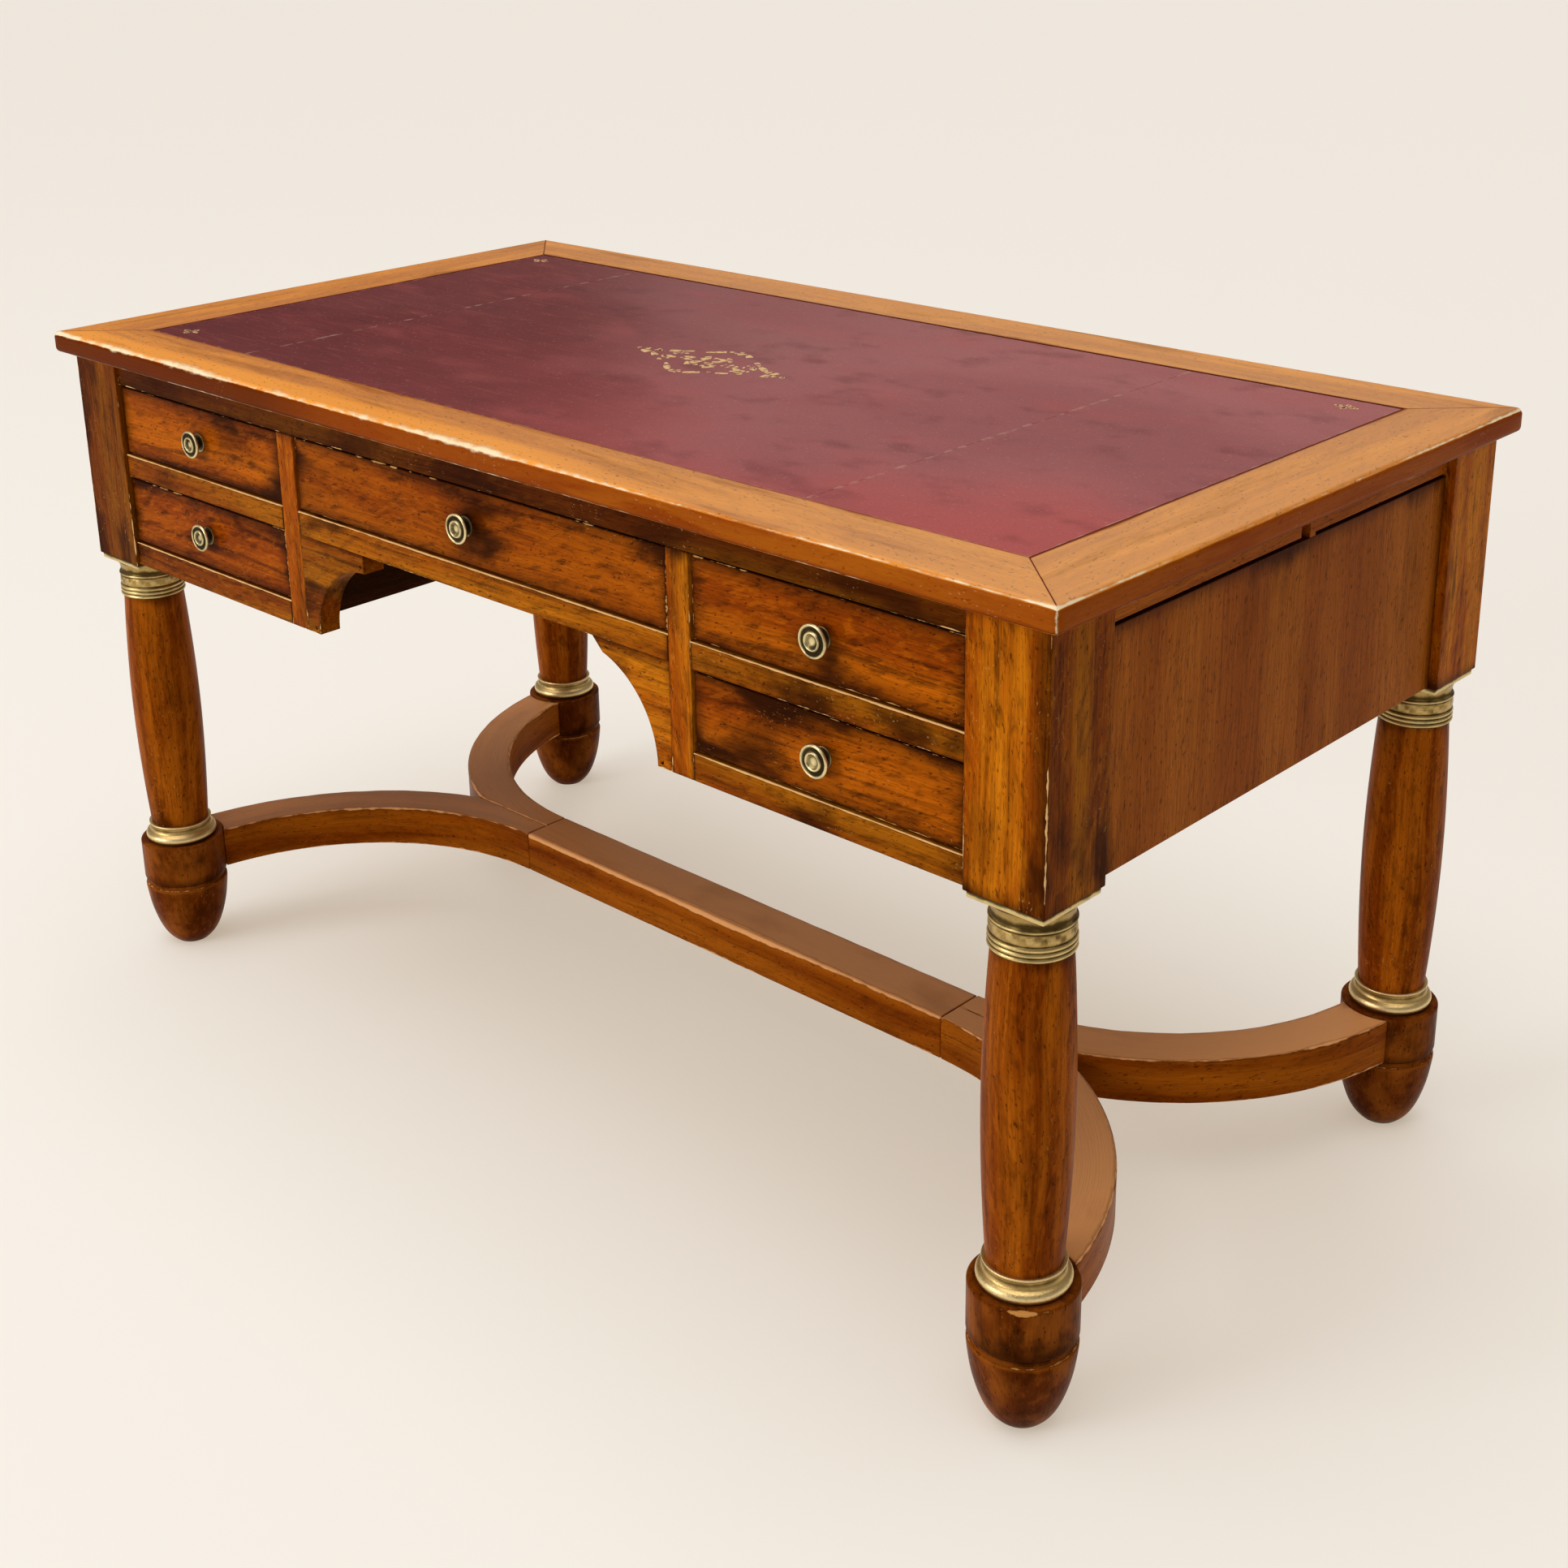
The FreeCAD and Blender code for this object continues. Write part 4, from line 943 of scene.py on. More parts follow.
@dataclass
class Studio:
    """Camera, paper floor and light.

    Attributes:
        place: the camera's place in metres.
        yaw, pitch, roll: its turn in radians.
        focal: focal length in pixels of the frame.
        axis_row: the row of the frame that the camera's axis meets.
        frame_width: width and height of the frame in pixels.
        film: width of the camera's sensor in millimetres.
        paper: half the width of the paper floor in metres.
        sun, sun_angle: strength of the lamp overhead, and how wide it is in degrees, which softens shadows.
        sun_toward: which way it shines.
        front, front_size: the front lamp's power in watts, and its width and height in metres.
        front_place, front_toward: where it stands and which way it shines.
        room, room_colour: strength and colour of the light that the room throws back from all round.
    """

    place: tuple[float, float, float] = (1.59440, -1.58834, 1.32108)
    yaw: float = 0.759776
    pitch: float = 0.334751
    roll: float = -0.015658
    focal: float = 2690.66
    axis_row: float = 716
    frame_width: int = 1932
    film: float = 36
    paper: float = 30
    sun: float = 1.72
    sun_angle: float = 62
    sun_toward: tuple[float, float, float] = (0.06, 0.10, -0.99)
    front: float = 150
    front_size: tuple[float, float] = (2.8, 2.1)
    front_place: tuple[float, float, float] = (-2.2, -5.6, 2.2)
    front_toward: tuple[float, float, float] = (0.40, 0.90, -0.22)
    room: float = 0.27
    room_colour: str = "#fff6ea"

    def build(self) -> None:
        """Puts the camera, the floor and the lamps in place."""
        bpy.context.scene.view_settings.view_transform = "Standard"
        self.camera()
        self.floor()
        self.light()

    def camera(self) -> None:
        """Sets the camera up from its yaw, pitch and roll."""
        lens = bpy.data.cameras.new("camera")
        lens.sensor_width = self.film
        lens.lens = self.focal * self.film / self.frame_width
        lens.shift_y = (self.axis_row - self.frame_width / 2) / self.frame_width
        lens.clip_end = 200
        ahead = np.array((-math.sin(self.yaw) * math.cos(self.pitch),
                          math.cos(self.yaw) * math.cos(self.pitch), -math.sin(self.pitch)))
        right = np.array((math.cos(self.yaw), math.sin(self.yaw), 0))
        up = np.cross(right, ahead)
        turn = np.eye(4)
        turn[:3, 0] = right * math.cos(self.roll) + up * math.sin(self.roll)
        turn[:3, 1] = up * math.cos(self.roll) - right * math.sin(self.roll)
        turn[:3, 2], turn[:3, 3] = -ahead, self.place
        holder = bpy.data.objects.new("camera", lens)
        holder.matrix_world = Matrix(turn.tolist())
        bpy.context.scene.collection.objects.link(holder)
        bpy.context.scene.camera = holder

    def floor(self) -> None:
        """Lays the paper as a flat grid of 12 by 12 fields."""
        line = np.linspace(-self.paper, self.paper, 13)
        u, v = np.meshgrid(line, line, indexing="ij")
        mesh = bpy.data.meshes.new("floor")
        mesh.from_pydata(np.stack((u.ravel(), v.ravel(), 0 * u.ravel()), 1).tolist(), [],
                         grid_faces(np.arange(u.size).reshape(u.shape)).tolist())
        mesh.materials.append(PAPER.material())
        sheet = bpy.data.objects.new("floor", mesh)
        bpy.context.scene.collection.objects.link(sheet)

    def light(self) -> None:
        """Hangs a very soft lamp overhead and a broad one in front, and lets a pale room fill the shadows."""
        above = bpy.data.lights.new("above", "SUN")
        above.energy = self.sun
        above.angle = math.radians(self.sun_angle)
        self.hang(above, (-1, -1, 4), self.sun_toward)
        front = bpy.data.lights.new("front", "AREA")
        front.shape = "RECTANGLE"
        front.size, front.size_y = self.front_size
        front.energy = self.front
        self.hang(front, self.front_place, self.front_toward)
        world = bpy.data.worlds.new("room")
        bpy.context.scene.world = world
        world.use_nodes = True
        world.node_tree.nodes.clear()
        glow = add(world.node_tree, "Background", {"Color": linear(self.room_colour), "Strength": self.room})
        add(world.node_tree, "OutputWorld", (glow,))

    def hang(self, lamp: bpy.types.Light, place: tuple[float, ...], toward: tuple[float, ...]) -> None:
        """Puts up a lamp that the camera doesn't see.

        Args:
            lamp: the lamp.
            place: where it hangs, in metres.
            toward: which way it shines.
        """
        holder = bpy.data.objects.new(lamp.name, lamp)
        holder.location = place
        holder.visible_camera = False
        holder.rotation_mode = "QUATERNION"
        holder.rotation_quaternion = Vector(toward).to_track_quat("-Z", "Y")
        bpy.context.scene.collection.objects.link(holder)


def slab_corner(which: int) -> np.ndarray:
    """The lowest (0) or highest (1) corner of the top's slab, from its four border boards."""
    corners = np.array([box_of(f"top_border_{side}")[which] for side in ("front", "rear", "left", "right")])
    return corners.max(axis=0) if which else corners.min(axis=0)


@dataclass
class DeskTop:
    """Mitred border, leather skins and their gold tooling.

    Attributes:
        arris: radius of the border's outer edges.
        gap: width of the mitre's open line on each board.
        seams: x of the two seams between the skins.
        seam_gap: half the width of an open seam.
        flesh: radius of the skins' cut edges.
        ornament: x and y of the middle ornament.
        flowers: x and y of the corner flowers.
        leaf_waves: lengths of the wave that decides where the gold still holds, in thirtieths of a stroke.
        dent, dent_waves: how far from the upper arris use has pressed it in, and the lengths of that wave.
        slab_low, slab_high: the slab's lowest and highest corner.
    """

    arris: float = 6.0
    gap: float = 0.22
    seams: tuple[float, float] = (-444, 390)
    seam_gap: float = 0.2
    flesh: float = 0.7
    ornament: tuple[float, float] = (-24, 4)
    flowers: tuple[tuple[float, float], ...] = ((-588, -270), (-600, 266), (583, 268))
    leaf_waves: tuple[float, ...] = (61, 27, 13)
    dent: float = 6
    dent_waves: tuple[float, ...] = (160, 57, 23, 9.5, 31)
    slab_low: np.ndarray = field(default_factory=lambda: slab_corner(0))
    slab_high: np.ndarray = field(default_factory=lambda: slab_corner(1))

    def build(self) -> None:
        """Makes the border and the leather, and dresses the core."""
        well = box_of("top_core")[1][:2]
        for seed, (name, axis, turn) in enumerate((("front", 0, -1), ("rear", 0, 1), ("left", 1, -1),
                                                   ("right", 1, 1)), start=3):
            board = self.border_board(axis, turn, well, seed)
            new_piece(f"border_{name}", board, BORDER, "border_veneer", f"top_border_{name}")
        dress(SHADED.material(Run.X), "top_core")
        self.leather()

    def border_board(self, axis: int, turn: int, well: np.ndarray, seed: int) -> Shell:
        """One mitred board of the border.

        A grid over the board's run, its inset from the outer edge and its height is laid into a trapezium:
        at each inset the half run is the slab's half length less that inset times the mitre's slope. The
        slab's outer edges are then rounded, and its upper arris pressed in by an irregular wave.

        Args:
            axis: 0 for a board along x, 1 for one along y.
            turn: which side of the desk it is on, -1 or 1.
            well: half the length and depth of the opening in the border.
            seed: picks its piece of veneer.

        Returns:
            The board's shell.
        """
        front, rear, right = ((axis, turn) == side for side in ((0, -1), (0, 1), (1, 1)))
        half, other = self.slab_high[:2], 1 - axis
        width = half[other] - well[other]
        slope = (half[axis] - well[axis]) / width
        thick = self.slab_high[2] - self.slab_low[2]
        run = half[axis] * 2
        ends = np.array([0, 0.6, 2, 5, 10])
        flat, quads = block_grid([np.concatenate((ends, np.linspace(16, run - 16, int(run / 5)),
                                                  run - ends[::-1])),
                                  stations(width, self.arris, 12), stations(thick, self.arris, 6)])
        share = flat[:, 0] / run * 2 - 1
        inset, height = flat[:, 1], flat[:, 2]
        reach = half[axis] - inset * slope
        points = np.empty_like(flat)
        points[:, axis] = share * (reach - self.gap)
        points[:, other] = turn * (half[other] - inset)
        points[:, 2] = self.slab_low[2] + height
        points = rounded(points, self.slab_low, self.slab_high, self.arris)

        # Distances from the upper outer arris, from both outer arrises, and from the mitre and the leather.
        upper = np.minimum(np.abs(thick - height), 40)
        edge = np.where(height > thick / 2, np.hypot(inset, upper), np.hypot(inset, height) + 5)
        side = np.where((inset < 0.01) & (height < thick - 0.01), upper * 2.2 + 1, edge)
        to_mitre = (1 - np.abs(share)) * reach
        inner = np.where(height > thick - 0.01, width - inset, NOWHERE)

        # The arris is pressed in by up to 1.5 mm.
        press = 0.5 + 0.5 * ripple(flat[:, 0], seed, self.dent_waves)
        dent = fall(np.hypot(inset, upper), self.dent) * (0.2 + 1.3 * press ** 2)
        points[:, other] -= turn * dent
        points[:, 2] -= dent * (height > thick / 2)
        grain = np.stack((points[:, axis], points[:, other] + 900 * seed, points[:, 2] + 70 * seed), axis=1)

        # Dirt lies in the mitre and beside the leather. Near the front, more so at its left, the top is
        # paler: polish and a painted sheen.
        leftward = np.clip((330 - points[:, 0]) / 260, 0, 1) * front
        soil_and_shade = np.maximum.reduce((fall(to_mitre, 1.2) * 1.6, fall(inner, 40) * (0.5 + 0.3 * leftward),
                                  fall(inner, 5) * (2.1 if rear or right else 1.2)))
        polish_and_sheen = fall(inset, 54) ** 0.5 * (0.25 + 0.8 * leftward)

        # The outer faces are dark with old polish, with painted shade making them darker at the front's left
        # end and along the foot and lighter towards the right.
        leftward_shade = np.clip((-100 - points[:, 0]) / 200, 0, 1) * 0.34 - np.clip(points[:, 0] / 450, 0, 1) * 0.1
        face = 1.12 + leftward_shade * front - 0.02 * right + 0.5 * fall(height, 5)
        crease = np.where((inset < 0.01) & (height < thick - 2), face, np.where(soil_and_shade > 0, soil_and_shade, -polish_and_sheen))

        # The arrises are rubbed, most at the front's left, where the broad pale band is wear and a painted
        # highlight, and chipped below and at the front right corner.
        corner = np.exp(-to_mitre / 45) * fall(side, RUB_REACH) * 0.5
        chips = fall(np.hypot(inset, height), 9) * (0.66 + 0.06 * leftward)
        rub = 0.84 if front or right else 0.68
        wear_and_highlight = (np.clip(rub - side / RUB_REACH, 0, 1) * (1 - leftward)
                + np.clip(0.92 - side * 0.03, 0, 2) * leftward)
        knocked = (inset < 0.01) & (share > 0 if front else share < 0) & (front or right)
        wear_and_highlight = np.maximum(np.maximum(wear_and_highlight, chips) + corner, knocked * np.clip(0.98 - to_mitre / 9, 0, 1))
        return Shell(points, quads.tolist(), grain, wear_and_highlight, crease)

    def leather(self) -> None:
        """Lays three skins edge to edge, each with a barely rounded rim, and the gold tooling on them."""
        low, high = box_of("leather_panels")
        sides = (low[0] - self.seam_gap, *self.seams, high[0] + self.seam_gap)
        skins = [board((sides[k] + self.seam_gap, low[1], low[2]),
                       (sides[k + 1] - self.seam_gap, high[1], high[2]), Run.X, self.flesh, 40 + k, step=30)
                 for k in range(3)]
        new_piece("leather_skins", sum(skins[1:], skins[0]), LEATHER, "leather",
                  "leather_panels")
        self.gilding(high[2])

    def gilding(self, top: float) -> None:
        """Lays what is left of the gold: a scrolled lozenge in the middle and flowers in three corners.

        Each stroke is a Bezier curve whose band swells by half a sine. An irregular wave along it decides
        where the leaf still holds.

        Args:
            top: height of the leather.
        """
        # A stroke's start, bend and end from the ornament's middle, and its width; each is drawn four times.
        petals = [((0, 2), (2, 6), (0, 10), 3.0), ((2, 0), (8, 2), (13, 0), 3.0)]
        lozenge = [((78, 5), (88, 10), (100, 1), 6.0), ((104, 0), (107, 1), (111, 0), 3.0),
                   ((56, 20), (68, 14), (82, 4), 4.6), ((38, 32), (46, 28), (56, 20), 3.6),
                   ((10, 50), (16, 46), (34, 30), 4.6), ((0, 44), (6, 50), (0, 55), 5.4),
                   ((42, 2), (50, 12), (64, 4), 5.0), ((44, 14), (54, 14), (62, 8), 3.6),
                   ((22, 3), (30, 6), (42, 2), 3.8), ((0, 17), (10, 17), (18, 6), 4.4),
                   ((4, 26), (12, 22), (20, 12), 3.8), ((0, 3), (8, 8), (15, 3), 5.6)]
        strokes = [(spot, stroke, (sx, sy)) for spots, drawing in (((self.ornament,), lozenge),
                                                                   (self.flowers, petals))
                   for spot in spots for stroke in drawing for sx in (-1, 1) for sy in (-1, 1)]
        leaves, step = [], np.linspace(0, 1, 30)[:, None]
        for number, (spot, (start, bend, end, width), turn) in enumerate(strokes):
            p, q, r = (np.array(k, float) for k in (start, bend, end))
            path = ((1 - step) ** 2 * p + 2 * step * (1 - step) * q + step ** 2 * r) * turn + spot
            swell = width * (0.6 + 1.1 * np.sin(math.pi * step[:, 0]))
            holds = ripple(step[:, 0] * 30, 300 + number, self.leaf_waves) > -0.16
            marks = np.flatnonzero(np.diff(np.concatenate(([False], holds, [False])).astype(int)))
            leaves += [ribbon(path[first:last], swell[first:last], top - 0.05, top + 0.1)
                       for first, last in zip(marks[::2], marks[1::2]) if last - first > 3]
        new_piece("gold_tooling", sum(leaves[1:], leaves[0]), GILDING, "leather")


@dataclass
class Carcass:
    """Posts, rails, dividers, brackets, side panels and what is inside.

    Attributes:
        arris: radius of the posts' edges.
        fine: radius of the edges of rails, dividers and brackets.
        joint: radius of the edges where a side panel's boards meet.
        dirt_and_shade: how far dirt and painted shade spread from the joints of the front frame.
        upper_rail_low, upper_rail_high: heights of both sides of the rails under the upper drawers.
        lower_rail_low, lower_rail_thick: underside and thickness of the rails under the lower drawers.
        foot_left, foot_right: width of each bracket at its lower end.
        bow_left, bow_right: radius of each bracket's hollow.
        tip_right: how far the right bracket's worn tip falls short of its full hollow.
        panel_joint: y where a side panel's two boards meet.
    """

    arris: float = 1.5
    fine: float = 0.7
    joint: float = 0.25
    dirt_and_shade: float = 22
    upper_rail_low: float = measured("centre_rail", 0, 2)
    upper_rail_high: float = measured("centre_rail", 1, 2)
    lower_rail_low: float = measured("drawer_rails", 0, 2)
    lower_rail_thick: float = 27
    foot_left: float = 22
    bow_left: float = 87
    foot_right: float = 19
    bow_right: float = 98
    tip_right: float = 29
    panel_joint: float = 26

    def build(self) -> None:
        """Makes the posts, the front frame and the sides, and dresses the rest."""
        self.posts()
        self.front_frame()
        self.brackets()
        self.sides()
        dress(SHADED.material(Run.X), "back_rail", "back_panel_left", "back_panel_right", "back_panel_centre")
        dress(INNER.material(Run.Y), "drawer_runners", "guide_strips", "drawer_kickers", "drawer_stops")
        # The kneehole walls get the near-black finish as painted shade.
        dress(SHADED.material(Run.Y), "kneehole_walls")

    def posts(self) -> None:
        """Four corner posts with upright grain; painted shade darkens their outer faces, the whole front left
        post and the right part of the front right one's front.
        """
        for number, name in enumerate(("front_left", "front_right", "rear_left", "rear_right")):
            low, high = box_of(f"post_{name}")
            front = number < 2
            shell = board(low, high, Run.Z, self.arris, 60 + number, joints="z+ z-", step=20, reach=26,
                          bright="x+ x-" * front, stain_and_shade=0.95 if name == "front_left" else 0,
                          rub=0.86 if front else 0.84)
            # Painted shade: the outer faces, the whole front left post, and the right of the front right
            # post's front.
            outer = np.abs(shell.points[:, 0]) > max(abs(low[0]), abs(high[0])) - 0.5
            shade = np.clip((shell.points[:, 0] - high[0] + 40) / 30, 0, 1) * (name == "front_right")
            shade *= shell.points[:, 1] < low[1] + 0.5
            shell.crease = np.maximum.reduce((shell.crease, shade, (0.85 if front else 0.5) * outer))
            new_piece(f"post_{name}_solid", shell, FRAME, "case_wood", f"post_{name}")

    def front_frame(self) -> None:
        """Rails between the posts and the uprights between the drawers."""
        # The top rail is painted dark as the shadow under the top's overhang; the other rails are darkened
        # all over, and their upper front arrises carry painted highlight lines.
        for name, run, seed, style in (
                ("front_top_rail", Run.X, 70, {"joints": "x- x+ z+", "rub": 0.9, "stain_and_shade": 1.1}),
                ("centre_rail", Run.X, 71, {"joints": "x- x+", "rub": 0.9, "bright": "z+", "stain_and_shade": 0.74}),
                ("divider_left", Run.Z, 75, {"joints": "z+", "rub": 0.92}),
                ("divider_right", Run.Z, 76, {"joints": "z+", "rub": 0.92})):
            shell = board(*box_of(name), run, self.fine, seed, reach=self.dirt_and_shade, **style)
            new_piece(f"{name}_board", shell, FRAME, "case_wood", name)
        low, high = box_of("centre_rail")
        inner, outer = box_of("divider_right")[1][0], box_of("drawer_rails")[1][0]
        rails = [board((left, low[1], bottom), (right, high[1], top), Run.X, self.fine, seed + step,
                       joints="x- x+", reach=self.dirt_and_shade, rub=0.9, bright="z+", stain_and_shade=0.82)
                 for seed, bottom, top in (
                     (80, self.upper_rail_low, self.upper_rail_high),
                     (82, self.lower_rail_low, self.lower_rail_low + self.lower_rail_thick))
                 for step, (left, right) in enumerate(((-outer, -inner), (inner, outer)))]
        new_piece("drawer_rail_boards", sum(rails[1:], rails[0]), FRAME, "case_wood", "drawer_rails")

    def brackets(self) -> None:
        """The two corner brackets of the kneehole, each sawn to an upright with a quarter-round hollow.

        The hollow is an arc from the upright's foot. The left one ends square under the rail, and the right
        one stops early, where its thin tip is worn to a slant.
        """
        for name, side, foot, bow, tip in (("left", 1, self.foot_left, self.bow_left, 0),
                                           ("right", -1, self.foot_right, self.bow_right, self.tip_right)):
            low, high = box_of(f"bracket_{name}")
            tall, across = high[2] - low[2], high[0] - low[0]
            turn = np.linspace(0, math.acos(tip / bow), 34)
            hollow = np.stack((foot + bow - bow * np.cos(turn), bow * np.sin(turn)), axis=1)
            rows = np.vstack(([[0, 0], [foot * 0.5, 0]], hollow, [[across, tall], [across * 0.5, tall]],
                              [[0, tall * share] for share in (1, 0.66, 0.33)]))
            if side < 0:
                rows = rows[::-1] * (-1, 1)
            rows = rows + ((low[0] if side > 0 else high[0]), low[2])
            shell = sawn(rows, low[1], high[1], self.fine, 84 + side, 16)
            # Both brackets are darkened all over, the left one more.
            shell.crease = np.maximum(shell.crease, 0.84 if side > 0 else 0.5)
            new_piece(f"bracket_{name}_sawn", shell, FRAME, "case_wood", f"bracket_{name}")

    def sides(self) -> None:
        """Side panels of two upright boards each, and the finish of the rail above."""
        for number, name in enumerate(("left", "right")):
            low, high = box_of(f"side_panel_{name}")
            near, far = high.copy(), low.copy()
            near[1] = far[1] = self.panel_joint
            # Each panel darkens towards its top under the side rail and towards the posts, as dirt and a
            # painted shadow line.
            shell = (board(low, near, Run.Z, self.joint, 90 + number, joints="z+ y-", spare="xyz")
                     + board(far, high, Run.Z, self.joint, 94 + number, joints="z+ y+", spare="xyz"))
            new_piece(f"side_boards_{name}", shell, SIDE, "case_wood", f"side_panel_{name}")
        dress(SIDE.material(Run.Y), "side_rail_left", "side_rail_right")


@dataclass
class Drawer:
    """One drawer: polished front with a brass knob, and a plain box behind.

    Attributes:
        name: which drawer, such as upper_left.
        seed: picks the front's piece of the tree.
        arris: radius of the front's edges.
        play: what use has worn off each side of the front.
        head: width of the knob that its profile is drawn for.
        reach: how far that profile stands out from the front.
    """

    name: str
    seed: int
    arris: float = 1.6
    play: float = 0.9
    head: float = 31
    reach: float = 14

    def build(self) -> None:
        """Makes the front and the knob, and dresses the box."""
        body = f"drawer_{self.name}"
        low, high = box_of(f"{body}_front")
        play = np.array((self.play, 0, self.play))
        # The front darkens towards its edges as dirt and painted shade, and the centre drawer's front is
        # darkened all over; the left drawers' right arris carries a painted highlight line.
        shell = board(low + play, high - play, Run.X, self.arris, self.seed, joints="x- x+ z+ z-", step=14,
                      reach=40, rub=0.96, bright="x+" if "left" in self.name else "",
                      stain_and_shade=0.62 if self.name == "centre" else 0)
        new_piece(f"{body}_face", shell, FRONT, "drawer_front_wood", f"{body}_front", body=body)
        dress(INNER.material(Run.Y), f"{body}_walls", f"{body}_bottom")
        self.knob(body)

    def knob(self, body: str) -> None:
        """Turns the knob about its axis: rosette, thin neck and a head with a raised rim and a ringed cup.

        Args:
            body: the CAD body that the drawer is.
        """
        low, high = box_of(f"{body}_knob")
        front = box_of(f"{body}_front")[0][1]
        centre = (low + high) / 2
        # Each row: radius, distance from the front, dirt and rubbing; the dirt is tarnish and, in the neck,
        # painted shade, and the rubbing is partly a painted highlight, as in the cup's middle.
        knots = [(9.6, 0.0, 0.6, 0), (10.2, 0.5, 0.3, 0.6), (9.8, 1.3, 0.3, 0.5), (7.2, 1.9, 0.6, 0),
                 (5.2, 2.4, 1, 0), (4.4, 4.2, 1, 0), (4.5, 6.2, 1, 0), (6.5, 8.0, 0.9, 0),
                 (11.5, 9.2, 0.6, 0), (14.6, 9.9, 0.3, 0.3), (15.5, 11.1, 0, 0.8), (15.2, 12.3, 0, 1),
                 (14.2, 13.0, 0, 1),
                 (13.0, 12.7, 0.3, 0.6), (12.1, 11.9, 0.9, 0), (10.6, 11.7, 1, 0), (9.4, 12.1, 0.9, 0),
                 (8.7, 13.2, 0.2, 0.7), (7.8, 14.0, 0, 1), (6.9, 13.6, 0.1, 0.9), (6.0, 12.6, 0.5, 0.3),
                 (4.2, 11.8, 0.6, 0.2), (2.0, 11.4, 0, 0.8), (0.4, 11.3, 0, 0.9)]
        profile = smooth_profile([(radius, out) for radius, out, _, _ in knots], 4)
        where = np.linspace(0, len(knots) - 1, len(profile))
        dirt_and_shade, rub = (np.interp(where, np.arange(len(knots)), column) for column in np.array(knots).T[2:])
        size = ((high[0] - low[0]) / self.head, (front - low[1]) / self.reach)
        shell = turned(profile * size, (0, 0), self.seed, dirt_and_shade, rub, 64)
        x, y, z = shell.points.T
        shell.points = np.stack((centre[0] + x, front - z, centre[2] + y), axis=1)
        shell.grain = np.stack((np.arctan2(y, x) * 12, np.hypot(x, y), z), axis=1) + self.seed * 37
        new_piece(f"{body}_pull", shell, KNOB_BRASS, "knob_brass", f"{body}_knob", body=body)


